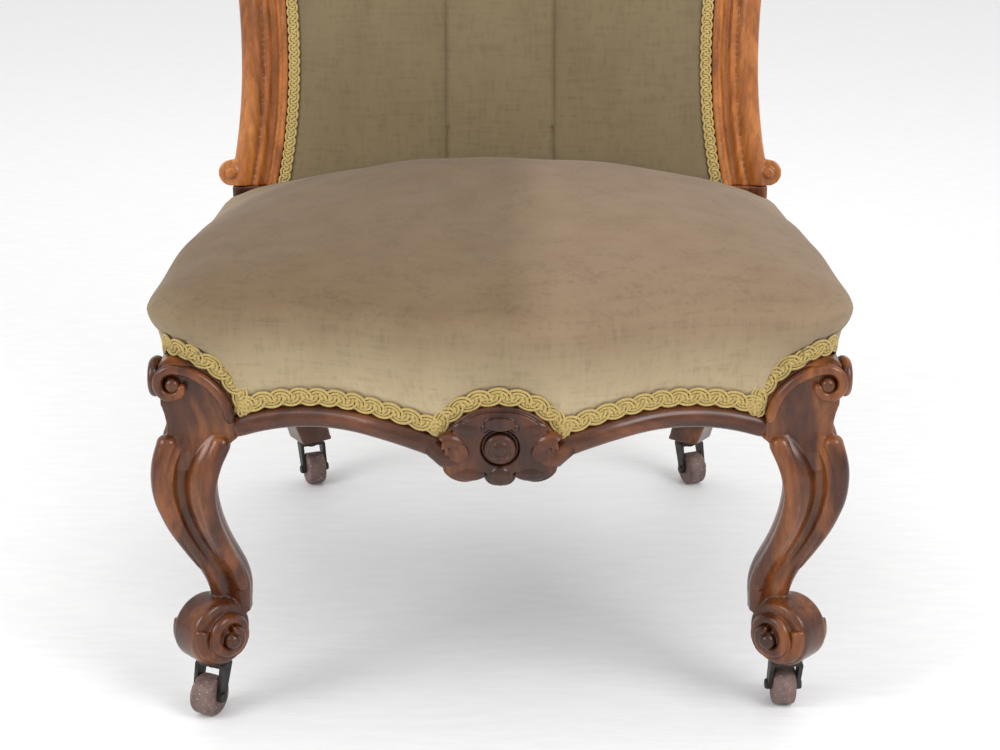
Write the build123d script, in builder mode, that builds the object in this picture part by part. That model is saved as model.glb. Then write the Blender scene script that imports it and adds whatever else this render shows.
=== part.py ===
from build123d import *
import math
import os

# A low upholstered chair on casters: carved show-wood frame, sprung seat with a bowed front, buttoned back.
# Millimetres, +Z up, front towards -Y, origin on the floor under the middle of the chair.

os.makedirs("parts", exist_ok=True)

# Stance
FRONT_TRACK = 468.0
BACK_TRACK = 402.0
FRONT_PIVOT_Y = -236.0
WHEELBASE = 480.0

# Casters
WHEEL_DIAMETER = 33.0
WHEEL_WIDTH = 18.5
WHEEL_EDGE = 3.0
WHEEL_SIDE_GAP = 0.8
AXLE_DIAMETER = 5.0
RIVET_HEAD_DIAMETER = 8.5
RIVET_HEAD_HEIGHT = 2.0
CASTER_TRAIL = 9.0
FORK_THICKNESS = 3.2
FORK_STRAP_WIDTH = 14.0
FORK_ARM_WIDTH = 9.0
FORK_BEND = 2.5
FORK_WHEEL_ROOM = 8.0
PINTLE_DIAMETER = 8.0
PINTLE_LENGTH = 34.0
PINTLE_HEAD_DIAMETER = 12.0
PINTLE_HEAD_HEIGHT = 2.4
PLATE_DIAMETER = 27.0
PLATE_THICKNESS = 2.6
PLATE_SCREW_SPACING = 18.0
PLATE_SCREW_DIAMETER = 3.0
PLATE_SCREW_HEAD = 5.4
PLATE_SCREW_LENGTH = 15.0

# Clearances
RUNNING_GAP = 0.08
GLUE_GAP = 0.05
SWIVEL_GAP = 0.4
CLOTH_GAP = 0.3

# Front legs, measured outwards from the caster's pivot line
FOOT_RADIUS = 28.0
FOOT_HALF_WIDTH = 16.0
FOOT_FLAT = 2.8
WHORL_STEP = 5.0
WHORL_SHRINK = 8.0
FOOT_EYE_RADIUS = 8.0
FOOT_EYE_REACH = 5.0
FOOT_GROOVE = 2.6
SPIRAL_STEP = 2.0
KNEE_ROOT = 34.0
KNEE_FACE = 31.0
KNEE_HOLLOW = 6.0
KNEE_BACKING = 9.0
KNEE_TOP_Z = 311.5
SCROLL_BAND = 11.0
SCROLL_EYE_RADIUS = 5.5

KNEE_LOW_Z = 222.0
KNEE_NECK = 22.0
KNEE_NECK_Z = 257.0
SCROLL_EYE_X = 14.0
# Sections from ankle to knee: height, inner edge, outer edge, depth of the hollow
LEG_SECTIONS = [
    (84.0, -31.0, -4.0, 0.6),
    (104.0, -32.0, 1.0, 1.0),
    (125.0, -29.5, 7.0, 1.6),
    (148.0, -22.0, 17.0, 2.6),
    (174.0, -15.0, 27.0, 3.8),
    (201.0, -12.0, 33.5, 5.0),
    (226.0, -17.0, 33.0, 6.0),
    (250.0, -30.0, 24.0, 6.0),
]

# Seat rails
ROLL_HEIGHT = 18.0
ROLL_PROUD = 6.0
ROLL_ROUND = 7.0
ROLL_REACH = 26.0
FRONT_BOW = 42.0
RAIL_THICKNESS = 26.0
RAIL_TOP_Z = 294.0
RAIL_LOW_END = 249.0
RAIL_LOW_ARCH = 260.0
RAIL_LOW_CENTRE = 237.0
RAIL_ARCH_SHARE = 0.7
SIDE_RAIL_TAPER = 10.0
WEB_LEDGE = 12.0
WEB_Z = 266.0

# Carved cartouche in the middle of the front rail
CARTOUCHE_HALF_WIDTH = 44.0
CARTOUCHE_LOW_Z = 229.0
CARTOUCHE_TOP_Z = 291.0
CARTOUCHE_BACK = 8.0
CARTOUCHE_PROUD = 6.0
BOSS_RADIUS = 11.5
BOSS_PROUD = 3.0

# Back legs
BACK_LEG_TOP_WIDTH = 46.0
BACK_LEG_TOP_DEPTH = 38.0
BACK_LEG_FOOT = 34.0
BACK_LEG_TURN = 35.0
BACK_LEG_TOP_X = 237.0
BACK_RAIL_THICKNESS = 26.0
BACK_RAIL_LOW_Z = 250.0
BACK_RAIL_EASE = 1.5

# Back frame, leaning back from a line at seat height
BACK_LEAN = 11.0
BACK_Y = 181.0
BACK_Z = 338.0
STILE_BACK = 18.0
STILE_LIP = 6.0
STILE_REBATE = 7.0
STILE_FLARE_X = 263.0
STILE_WAIST_X = 249.0
STILE_WAIST_S = 124.0
STILE_SHOULDER_X = 262.0
STILE_SHOULDER_S = 345.0
CREST_JOINT_S = 440.0
CREST_TOP_S = 600.0
CREST_POWER = 2.3
STILE_SHARE = 0.55
STILE_SCROLL_RADIUS = 12.5
STILE_SCROLL_PROUD = 12.0
STILE_EYE_PROUD = 16.0
# Members of the moulding from the outer edge in: width, height at the middle, height at the inner end
MOULDING_START = 4.0
MOULDING = [
    (21.0, 15.0, 5.0),
    (7.0, 9.0, 6.0),
    (8.0, 3.6, 7.0),
    (4.0, 8.6, 7.0),
    (5.0, 9.0, 6.5),
]

# Upholstery
SEAT_CORNER = 34.0
SEAT_REAR_CORNER = 10.0
SEAT_BACK_EDGE_Y = 157.0
SEAT_REAR_SWELL = 0.5
SKIRT_GAP = 0.8
SEAT_MIDDLE_Y = -50.0
SEAT_WIDEST_Z = 345.0
SKIRT_TOP_Z = 328.0
SEAT_CROWN_Z = 392.0
SEAT_BULGE = 17.0
COVER_THICKNESS = 2.5
BRAID_WIDTH = 13.0
BRAID_THICKNESS = 2.4
HESSIAN_THICKNESS = 1.5
HESSIAN_TOP_Z = 320.0
HESSIAN_INSET = 18.2
HESSIAN_TOP_SHARE = 0.8
WEB_WIDTH = 50.0
WEB_THICKNESS = 1.6
DUST_COVER_THICKNESS = 0.8
SPRING_WIRE = 3.4
SPRING_END_RADIUS = 30.0
SPRING_WAIST_RADIUS = 20.0
SPRING_TURNS = 3.5
SPRING_X = 95.0
SPRING_FRONT_Y = -150.0
SPRING_MIDDLE_Y = -45.0
SPRING_BACK_Y = 60.0
PAD_LOW_S = 16.0
PAD_EDGE_GAP = 1.0
PAD_BORDER_SHARE = 0.28
PAD_CROWN = 20.0
PAD_CHANNEL = 5.0
BACK_BRAID_WIDTH = 9.0
BUTTON_RADIUS = 8.0
BUTTON_PITCH_X = 50.0
BUTTON_PITCH_S = 80.0
BUTTON_FIRST_S = 225.0
OUTSIDE_BACK_THICKNESS = 3.0

# Joinery
DOWEL_DIAMETER = 8.0
DOWEL_LENGTH = 36.0
DOWEL_SPACING = 16.0
BACK_DOWEL_SHIFT = 5.0
POST_SHIFT = 4.0
BLOCK_LOW_GAP = 2.0
BLOCK_LEG = 42.0

# Sizes that follow from those above
PIVOT_X = FRONT_TRACK / 2
BACK_PIVOT_X = BACK_TRACK / 2
BACK_PIVOT_Y = FRONT_PIVOT_Y + WHEELBASE
WHEEL_RADIUS = WHEEL_DIAMETER / 2
FORK_INNER = WHEEL_WIDTH / 2 + WHEEL_SIDE_GAP
FORK_OUTER = FORK_INNER + FORK_THICKNESS
STRAP_UNDER_Z = WHEEL_DIAMETER + FORK_WHEEL_ROOM
STRAP_TOP_Z = STRAP_UNDER_Z + FORK_THICKNESS
PLATE_UNDER_Z = STRAP_TOP_Z + SWIVEL_GAP
FOOT_Z = PLATE_UNDER_Z + PLATE_THICKNESS
FOOT_CENTRE_Z = FOOT_Z + FOOT_RADIUS - FOOT_FLAT
PINTLE_TOP_Z = STRAP_UNDER_Z + PINTLE_LENGTH
RAIL_HALF = PIVOT_X - KNEE_ROOT
ROLL_FACE_Y = FRONT_PIVOT_Y - ROLL_REACH
RAIL_FACE_X = PIVOT_X + ROLL_REACH - ROLL_PROUD
SIDE_FRONT_Y = FRONT_PIVOT_Y + KNEE_ROOT
BACK_LEG_TOP_Y = BACK_Y + STILE_LIP
SIDE_BACK_Y = BACK_LEG_TOP_Y - BACK_LEG_TOP_DEPTH / 2
BACK_RAIL_FRONT_Y = BACK_LEG_TOP_Y - BACK_RAIL_THICKNESS / 2
SIDE_LENGTH = SIDE_BACK_Y - SIDE_FRONT_Y
LEAN = math.radians(BACK_LEAN)
BACK_UP = Vector(0, math.sin(LEAN), math.cos(LEAN))
BACK_FRONT = Vector(0, -math.cos(LEAN), math.sin(LEAN))
BACK_PLANE = Plane(origin=(0, BACK_Y, BACK_Z), x_dir=(1, 0, 0), z_dir=BACK_FRONT)
STILE_SEAT_PLANE = Plane(origin=(0, BACK_Y, BACK_Z), x_dir=(1, 0, 0), z_dir=BACK_UP)
COS_45 = math.sqrt(0.5)
STILE_WIDTH = sum(member[0] for member in MOULDING)
FAR = 400.0


def save(part, name):
    part.label = name
    export_step(part, f"parts/{name}.step")


def save_pair(part, name):
    """Write a right-hand piece and its mirror image."""
    save(part, f"{name}_right")
    with BuildPart() as left:
        mirror(part, about=Plane.YZ)
    save(left.part, f"{name}_left")


def evenly(first, last, count):
    return [first + (last - first) * i / (count - 1) for i in range(count)]


# Curves of the seat frame
def bow(x):
    """Y of the front roll's face: an arc forward in the middle, eased into each leg by a reversed arc."""
    half = RAIL_HALF / 2
    rise = FRONT_BOW / 2
    radius = (half ** 2 + rise ** 2) / (2 * rise)
    reach = min(abs(x), RAIL_HALF)
    if reach <= half:
        return ROLL_FACE_Y - FRONT_BOW + radius - math.sqrt(radius ** 2 - reach ** 2)
    return ROLL_FACE_Y - radius + math.sqrt(radius ** 2 - (RAIL_HALF - reach) ** 2)


def bow_arcs(points):
    """Three arcs through seven points that follow the bow from one leg to the other."""
    for first in (0, 2, 4):
        ThreePointArc(*points[first:first + 3])


BOW_STATIONS = [RAIL_HALF * share for share in (-1, -0.75, -0.5, 0, 0.5, 0.75, 1)]


def front_low_points(rise):
    """Seven points of the front rail's lower edge: low behind the cartouche, arched towards each leg."""
    arch_x = RAIL_HALF * RAIL_ARCH_SHARE
    dip_x = CARTOUCHE_HALF_WIDTH * 0.8
    dip_z = RAIL_LOW_CENTRE + (RAIL_LOW_ARCH - RAIL_LOW_CENTRE) * 0.25
    right = [(dip_x, dip_z + rise), (arch_x, RAIL_LOW_ARCH + rise), (RAIL_HALF, RAIL_LOW_END + rise)]
    return [(-x, z) for x, z in reversed(right)] + [(0, RAIL_LOW_CENTRE + rise)] + right


def side_face(y):
    """X of the right side rail's cloth-covered face, which draws in towards the back."""
    return RAIL_FACE_X - SIDE_RAIL_TAPER * (y - SIDE_FRONT_Y) / SIDE_LENGTH


# Casters
def caster_place(pivot_x, pivot_y, heading):
    """Plane on the floor under a pivot, whose x axis is the way the wheel trails."""
    turn = math.radians(heading)
    return Plane(origin=(pivot_x, pivot_y, 0), x_dir=(math.cos(turn), math.sin(turn), 0), z_dir=(0, 0, 1))


def make_caster_wheel(place):
    with BuildPart(place) as wheel:
        with Locations((CASTER_TRAIL, 0, WHEEL_RADIUS)):
            Cylinder(WHEEL_RADIUS, WHEEL_WIDTH, rotation=(90, 0, 0))
        fillet(wheel.edges().filter_by(GeomType.CIRCLE), WHEEL_EDGE)
        with Locations((CASTER_TRAIL, 0, WHEEL_RADIUS)):
            Cylinder(AXLE_DIAMETER / 2 + RUNNING_GAP, FAR, rotation=(90, 0, 0), mode=Mode.SUBTRACT)
    return wheel.part


def make_caster_axle(place):
    span = 2 * (FORK_OUTER + RIVET_HEAD_HEIGHT)
    with BuildPart(place) as axle:
        with Locations((CASTER_TRAIL, 0, WHEEL_RADIUS)):
            Cylinder(AXLE_DIAMETER / 2, span, rotation=(90, 0, 0))
        for side in (-1, 1):
            with Locations((CASTER_TRAIL, side * (FORK_OUTER + RIVET_HEAD_HEIGHT / 2), WHEEL_RADIUS)):
                Cylinder(RIVET_HEAD_DIAMETER / 2, RIVET_HEAD_HEIGHT, rotation=(90, 0, 0))
        rims = axle.edges().filter_by(GeomType.CIRCLE).filter_by(lambda rim: rim.radius > AXLE_DIAMETER / 2)
        outer_rims = rims.filter_by(lambda rim: (rim.arc_center - place.origin).dot(place.y_dir) ** 2
                                    > (FORK_OUTER + RIVET_HEAD_HEIGHT / 2) ** 2)
        fillet(outer_rims, RIVET_HEAD_HEIGHT * 0.7)
    return axle.part


def make_caster_fork(place):
    side_plane = Plane(origin=place.origin, x_dir=place.x_dir, z_dir=-place.y_dir)
    with BuildPart(place) as fork:
        with BuildSketch(side_plane):
            with Locations((CASTER_TRAIL, WHEEL_RADIUS)):
                Circle(FORK_ARM_WIDTH / 2)
            with Locations((0, STRAP_UNDER_Z + FORK_THICKNESS / 2)):
                Rectangle(FORK_STRAP_WIDTH, FORK_THICKNESS)
            make_hull()
        extrude(amount=FORK_OUTER, both=True)
        with Locations((0, 0, STRAP_UNDER_Z / 2)):
            Box(FAR, 2 * FORK_INNER, STRAP_UNDER_Z, mode=Mode.SUBTRACT)
        strap_edges = fork.edges().filter_by(Axis((0, 0, 0), place.x_dir)).group_by(Axis.Z)[-1]
        fillet(strap_edges, FORK_BEND)
        with Locations((CASTER_TRAIL, 0, WHEEL_RADIUS)):
            Cylinder(AXLE_DIAMETER / 2 + GLUE_GAP, FAR, rotation=(90, 0, 0), mode=Mode.SUBTRACT)
        with Locations((0, 0, STRAP_UNDER_Z)):
            Cylinder(PINTLE_DIAMETER / 2 + GLUE_GAP, FORK_THICKNESS * 4, mode=Mode.SUBTRACT)
    return fork.part


def make_caster_pintle(place):
    upright = (Align.CENTER, Align.CENTER, Align.MIN)
    with BuildPart(place) as pintle:
        with Locations((0, 0, STRAP_UNDER_Z - PINTLE_HEAD_HEIGHT)):
            Cylinder(PINTLE_HEAD_DIAMETER / 2, PINTLE_HEAD_HEIGHT, align=upright)
        fillet(pintle.edges().sort_by(Axis.Z)[0], PINTLE_HEAD_HEIGHT * 0.8)
        with Locations((0, 0, STRAP_UNDER_Z)):
            Cylinder(PINTLE_DIAMETER / 2, PINTLE_LENGTH, align=upright)
        chamfer(pintle.edges().sort_by(Axis.Z)[-1], PINTLE_DIAMETER / 8)
    return pintle.part


def make_caster_plate(place):
    upright = (Align.CENTER, Align.CENTER, Align.MIN)
    with BuildPart(place) as plate:
        with Locations((0, 0, PLATE_UNDER_Z)):
            Cylinder(PLATE_DIAMETER / 2, PLATE_THICKNESS, align=upright)
            Cylinder(PINTLE_DIAMETER / 2 + RUNNING_GAP, PLATE_THICKNESS, align=upright, mode=Mode.SUBTRACT)
        for side in (-1, 1):
            with Locations((0, side * PLATE_SCREW_SPACING / 2, PLATE_UNDER_Z)):
                Cylinder(PLATE_SCREW_DIAMETER / 2 + GLUE_GAP, PLATE_THICKNESS,
                         align=upright, mode=Mode.SUBTRACT)
                Cone(PLATE_SCREW_HEAD / 2 + GLUE_GAP, PLATE_SCREW_DIAMETER / 2 + GLUE_GAP,
                     (PLATE_SCREW_HEAD - PLATE_SCREW_DIAMETER) / 2, align=upright, mode=Mode.SUBTRACT)
    return plate.part


def cut_caster_socket(place):
    """Bore a leg, which is being built, for a caster's pintle and its two plate screws."""
    upright = (Align.CENTER, Align.CENTER, Align.MIN)
    with Locations(place.offset(FOOT_Z).location):
        Cylinder(PINTLE_DIAMETER / 2 + RUNNING_GAP, PINTLE_TOP_Z - FOOT_Z + 1,
                 align=upright, mode=Mode.SUBTRACT)
        with Locations((0, PLATE_SCREW_SPACING / 2, 0), (0, -PLATE_SCREW_SPACING / 2, 0)):
            Cylinder(PLATE_SCREW_DIAMETER / 2 + GLUE_GAP, PLATE_SCREW_LENGTH,
                     align=upright, mode=Mode.SUBTRACT)


def make_plate_screws(places):
    upright = (Align.CENTER, Align.CENTER, Align.MIN)
    with BuildPart() as screws:
        for place in places:
            with Locations(place.offset(PLATE_UNDER_Z).location):
                with Locations((0, PLATE_SCREW_SPACING / 2, 0), (0, -PLATE_SCREW_SPACING / 2, 0)):
                    Cone(PLATE_SCREW_HEAD / 2, PLATE_SCREW_DIAMETER / 2,
                         (PLATE_SCREW_HEAD - PLATE_SCREW_DIAMETER) / 2, align=upright)
                    Cylinder(PLATE_SCREW_DIAMETER / 2, PLATE_SCREW_LENGTH, align=upright)
    return screws.part


# Dowels: each is a plane at the middle of a joint, whose z axis runs along the dowel
def bore_dowels(joints):
    """Bore the part being built for the dowels of some joints."""
    for joint in joints:
        with Locations(joint.location):
            Cylinder(DOWEL_DIAMETER / 2 + GLUE_GAP, DOWEL_LENGTH + 2 * GLUE_GAP, mode=Mode.SUBTRACT)


def make_dowels(joints):
    with BuildPart() as dowels:
        for joint in joints:
            with Locations(joint.location):
                Cylinder(DOWEL_DIAMETER / 2, DOWEL_LENGTH)
        chamfer(dowels.edges().filter_by(GeomType.CIRCLE), DOWEL_DIAMETER / 8)
    return dowels.part


def pair_up(centre, axis, spread):
    """Two dowel planes either side of a point."""
    return [Plane(origin=Vector(*centre) + Vector(*spread) * (side * DOWEL_SPACING / 2), z_dir=axis)
            for side in (-1, 1)]


def mirrored_joints(joints):
    return [Plane(origin=(-j.origin.X, j.origin.Y, j.origin.Z), z_dir=(-j.z_dir.X, j.z_dir.Y, j.z_dir.Z))
            for j in joints]


RAIL_DOWEL_Z = (WEB_Z + RAIL_TOP_Z) / 2
POST_MIDDLE = ROLL_REACH - ROLL_PROUD - RAIL_THICKNESS / 2 - POST_SHIFT
FRONT_RAIL_DOWELS = pair_up((RAIL_HALF, FRONT_PIVOT_Y - POST_MIDDLE, RAIL_DOWEL_Z), (1, 0, 0), (0, 0, 1))
SIDE_FRONT_DOWELS = pair_up((PIVOT_X + POST_MIDDLE, SIDE_FRONT_Y, RAIL_DOWEL_Z), (0, 1, 0), (0, 0, 1))
SIDE_BACK_DOWELS = pair_up((side_face(SIDE_BACK_Y) - RAIL_THICKNESS / 2, SIDE_BACK_Y, RAIL_DOWEL_Z),
                           (0, 1, 0), (0, 0, 1))
BACK_RAIL_END_X = BACK_LEG_TOP_X - BACK_LEG_TOP_WIDTH / 2
BACK_RAIL_DOWELS = pair_up((BACK_RAIL_END_X, BACK_LEG_TOP_Y + BACK_DOWEL_SHIFT, RAIL_DOWEL_Z),
                           (1, 0, 0), (0, 0, 1))
STILE_DOWELS = [Plane(origin=BACK_PLANE.from_local_coords((BACK_LEG_TOP_X, 0, -STILE_LIP)), z_dir=BACK_UP)]

# Front leg
LEG_PLANE = Plane(origin=(PIVOT_X, FRONT_PIVOT_Y, 0), x_dir=(1, 0, 0), z_dir=(0, 0, -1))
KNEE_PLANE = Plane(origin=(PIVOT_X, FRONT_PIVOT_Y, 0), x_dir=(1, 0, 0), z_dir=(0, -1, 0))
DIAGONAL = Plane(origin=(PIVOT_X, FRONT_PIVOT_Y, 0), z_dir=(1, 1, 0))
SCROLL_PLANE = Plane(origin=(PIVOT_X, FRONT_PIVOT_Y, 0), x_dir=(1, -1, 0), z_dir=(-1, -1, 0))
SCROLL_EYE_Z = KNEE_TOP_Z - 1.65 * SCROLL_BAND


def swap(point):
    return (point[1], point[0])


def leg_section(height, inner, outer, hollow):
    """Corner leg section, alike on both faces: inner roll, hollow, then a round husk on the outer corner."""
    width = outer - inner
    roll_start = (inner, outer - 0.3 * width)
    roll_crest = (inner + 0.2 * width, outer)
    roll_end = (inner + 0.42 * width, outer - 0.1 * width)
    cove = (inner + 0.54 * width, outer - 0.09 * width - hollow)
    husk_start = (inner + 0.65 * width, outer - 0.06 * width)
    corner = (outer - 0.08 * width, outer - 0.08 * width)
    inner_corner = (inner + 0.14 * width, inner + 0.14 * width)
    with BuildSketch(LEG_PLANE.offset(-height)) as section:
        with BuildLine():
            ThreePointArc(roll_start, roll_crest, roll_end)
            ThreePointArc(roll_end, cove, husk_start)
            ThreePointArc(husk_start, corner, swap(husk_start))
            ThreePointArc(swap(husk_start), swap(cove), swap(roll_end))
            ThreePointArc(swap(roll_end), swap(roll_crest), swap(roll_start))
            ThreePointArc(swap(roll_start), inner_corner, roll_start)
        make_face()
    return section.sketch


def scroll_top_arc(inset):
    """Three points of the knee scroll's upper arc, set in from its outer edge."""
    start = (-KNEE_ROOT + inset, RAIL_LOW_END + ROLL_HEIGHT * 0.7)
    middle = (-KNEE_ROOT * 0.63 + inset * 0.75, KNEE_TOP_Z - 0.5 * KNEE_ROOT - inset * 0.75)
    end = (SCROLL_EYE_X, KNEE_TOP_Z - inset)
    return start, middle, end


def make_knee_core():
    """Knee of the leg: one outline sawn on the front face and on the side face."""
    volute = KNEE_TOP_Z - SCROLL_EYE_Z
    with BuildPart() as core:
        with BuildSketch(KNEE_PLANE.offset(-KNEE_ROOT)):
            with BuildLine():
                Spline((-KNEE_ROOT, RAIL_LOW_END), (-KNEE_ROOT * 0.6, RAIL_LOW_END - 0.4 * KNEE_ROOT),
                       (-KNEE_ROOT * 0.42, KNEE_LOW_Z))
                Line((-KNEE_ROOT * 0.42, KNEE_LOW_Z), (KNEE_FACE, KNEE_LOW_Z))
                neck_end = (SCROLL_EYE_X + 0.7 * volute, SCROLL_EYE_Z - 0.7 * volute)
                Spline((KNEE_FACE, KNEE_LOW_Z), (KNEE_NECK, KNEE_NECK_Z), neck_end)
                ThreePointArc(neck_end, (SCROLL_EYE_X + volute, SCROLL_EYE_Z), (SCROLL_EYE_X, KNEE_TOP_Z))
                start, middle, end = scroll_top_arc(0)
                ThreePointArc(end, middle, start)
                Line(start, (-KNEE_ROOT, RAIL_LOW_END))
            make_face()
        extrude(amount=KNEE_ROOT + KNEE_FACE - KNEE_HOLLOW)
        mirror(core.part, about=DIAGONAL, mode=Mode.INTERSECT)
    return core.part


def make_scroll_foot():
    """Whorled foot, its axis square to the leg's diagonal: two steps, a spiral groove, an eye at each end."""
    inner_radius = FOOT_RADIUS - WHORL_SHRINK
    inner_centre = (-WHORL_SHRINK * 0.3, FOOT_CENTRE_Z - WHORL_SHRINK * 0.35)
    whorl_half = FOOT_HALF_WIDTH + WHORL_STEP
    groove_radius = (inner_radius + FOOT_EYE_RADIUS) / 2
    with BuildPart() as foot:
        with BuildSketch(SCROLL_PLANE):
            with Locations((0, FOOT_CENTRE_Z)):
                Circle(FOOT_RADIUS)
        extrude(amount=FOOT_HALF_WIDTH, both=True)
        fillet(foot.edges().filter_by(GeomType.CIRCLE), WHORL_STEP)
        with BuildSketch(SCROLL_PLANE):
            with Locations(inner_centre):
                Circle(inner_radius)
        extrude(amount=whorl_half, both=True)
        for end in (-1, 1):
            with BuildSketch(SCROLL_PLANE.offset(end * whorl_half)):
                with BuildLine():
                    x, z = inner_centre
                    ThreePointArc((x, z - inner_radius), (x - groove_radius, z), (x, z + groove_radius))
                    low = z - groove_radius + SPIRAL_STEP
                    last_turn = groove_radius - 2.5 * SPIRAL_STEP
                    ThreePointArc((x, z + groove_radius), (x + groove_radius - SPIRAL_STEP / 2, z), (x, low))
                    ThreePointArc((x, low), (x - last_turn, z), (x, z + last_turn))
                trace(line_width=FOOT_GROOVE)
            extrude(amount=-end * WHORL_STEP * 0.7, mode=Mode.SUBTRACT)
        with BuildSketch(SCROLL_PLANE):
            with Locations(inner_centre):
                Circle(FOOT_EYE_RADIUS * 0.8)
        extrude(amount=whorl_half + FOOT_EYE_REACH, both=True)
        eye_rims = foot.edges().filter_by(GeomType.CIRCLE).filter_by(
            lambda rim: abs(SCROLL_PLANE.to_local_coords(rim.arc_center).Z) > whorl_half + 1)
        fillet(eye_rims, FOOT_EYE_RADIUS * 0.45)
    return foot.part


def make_front_leg(place):
    """Right front leg. Its pintle socket and screw holes follow the caster plate's place."""
    knee_core = make_knee_core()
    foot = make_scroll_foot()
    post_half = (KNEE_ROOT + KNEE_BACKING) / 2
    with BuildPart() as leg:
        loft([leg_section(*station) for station in LEG_SECTIONS])
        add(knee_core)
        with BuildSketch(LEG_PLANE.offset(-RAIL_TOP_Z)):
            with Locations((KNEE_BACKING - post_half, KNEE_BACKING - post_half)):
                Rectangle(2 * post_half, 2 * post_half)
        extrude(amount=RAIL_TOP_Z - RAIL_LOW_END - ROLL_HEIGHT / 2)
        with BuildSketch(KNEE_PLANE.offset(KNEE_BACKING)):
            with BuildLine():
                start, middle, end = scroll_top_arc(SCROLL_BAND / 2)
                curl = end[1] - SCROLL_EYE_Z
                ThreePointArc(start, middle, end)
                ThreePointArc(end, (SCROLL_EYE_X + curl, SCROLL_EYE_Z), (SCROLL_EYE_X, SCROLL_EYE_Z - curl))
            trace(line_width=SCROLL_BAND)
            with Locations((SCROLL_EYE_X, SCROLL_EYE_Z)):
                Circle(SCROLL_EYE_RADIUS)
        extrude(amount=KNEE_FACE - KNEE_BACKING)
        mirror(about=DIAGONAL)
        add(foot)
        with BuildSketch(LEG_PLANE.offset(-FOOT_Z)):
            Rectangle(4 * FOOT_RADIUS, 4 * FOOT_RADIUS)
        extrude(amount=FOOT_Z, mode=Mode.SUBTRACT)
        cut_caster_socket(place)
        bore_dowels(FRONT_RAIL_DOWELS + SIDE_FRONT_DOWELS)
    return leg.part


# Front rail and its cartouche
def front_band(near, far):
    """Plan of a strip that follows the bow, between two distances behind the roll's face."""
    with BuildSketch() as band:
        with BuildLine():
            for reach in (near, far):
                bow_arcs([(x, bow(x) + reach) for x in BOW_STATIONS])
            for x in (-RAIL_HALF, RAIL_HALF):
                Line((x, bow(x) + near), (x, bow(x) + far))
        make_face()
    return band.sketch


def front_elevation(low, high, plane=Plane.XZ):
    """Front view of a strip that follows the rail's lower edge, between two distances above it."""
    with BuildSketch(plane) as strip:
        with BuildLine():
            for rise in (low, high):
                bow_arcs(front_low_points(rise))
            for x in (-RAIL_HALF, RAIL_HALF):
                Line((x, RAIL_LOW_END + low), (x, RAIL_LOW_END + high))
        make_face()
    return strip.sketch


CARTOUCHE_SEAT = Plane.XZ.offset(-bow(0) - CARTOUCHE_BACK)


def cartouche_outline(margin, plane):
    """Front view of the cartouche: arched top, hollow sides, a leaf each side of a central drop."""
    half = CARTOUCHE_HALF_WIDTH
    height = CARTOUCHE_TOP_Z - CARTOUCHE_LOW_Z
    with BuildSketch(plane) as outline:
        with BuildLine():
            for side in (-1, 1):
                drop = (side * 0.28 * half, CARTOUCHE_LOW_Z + 0.14 * height)
                leaf = (side * 0.95 * half, CARTOUCHE_LOW_Z + 0.17 * height)
                shoulder = (side * 0.95 * half, CARTOUCHE_LOW_Z + 0.6 * height)
                under_leaf = (side * 0.2 * half, CARTOUCHE_LOW_Z + 0.03 * height)
                ThreePointArc((0, CARTOUCHE_LOW_Z), under_leaf, drop)
                ThreePointArc(drop, (side * 0.62 * half, CARTOUCHE_LOW_Z + 0.04 * height), leaf)
                ThreePointArc(leaf, (side * half, CARTOUCHE_LOW_Z + 0.38 * height), shoulder)
                ThreePointArc(shoulder, (side * 0.62 * half, CARTOUCHE_LOW_Z + 0.88 * height),
                              (0, CARTOUCHE_TOP_Z))
        make_face()
        if margin:
            offset(amount=margin)
    return outline.sketch


def make_cartouche():
    face_y = bow(0) - CARTOUCHE_PROUD
    middle_z = (CARTOUCHE_LOW_Z + CARTOUCHE_TOP_Z) / 2
    with BuildPart() as cartouche:
        extrude(cartouche_outline(0, CARTOUCHE_SEAT), amount=CARTOUCHE_BACK + CARTOUCHE_PROUD / 2)
        face = cartouche_outline(-CARTOUCHE_PROUD / 2, CARTOUCHE_SEAT)
        extrude(face, amount=CARTOUCHE_BACK + CARTOUCHE_PROUD)
        with BuildSketch(Plane.XZ.offset(-face_y)):
            with Locations((0, middle_z)):
                Circle(BOSS_RADIUS + BOSS_PROUD)
                Circle(BOSS_RADIUS, mode=Mode.SUBTRACT)
        extrude(amount=-BOSS_PROUD, mode=Mode.SUBTRACT)
        with BuildSketch(Plane.XZ.offset(-face_y)):
            with Locations((0, middle_z)):
                Circle(BOSS_RADIUS)
            with Locations((0, CARTOUCHE_TOP_Z - BOSS_RADIUS)):
                Ellipse(BOSS_RADIUS, BOSS_RADIUS * 0.45)
            with Locations((CARTOUCHE_HALF_WIDTH * 0.7, middle_z - BOSS_PROUD),
                           (-CARTOUCHE_HALF_WIDTH * 0.7, middle_z - BOSS_PROUD)):
                Circle(ROLL_HEIGHT * 0.4)
        extrude(amount=BOSS_PROUD)
    return cartouche.part


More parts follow.
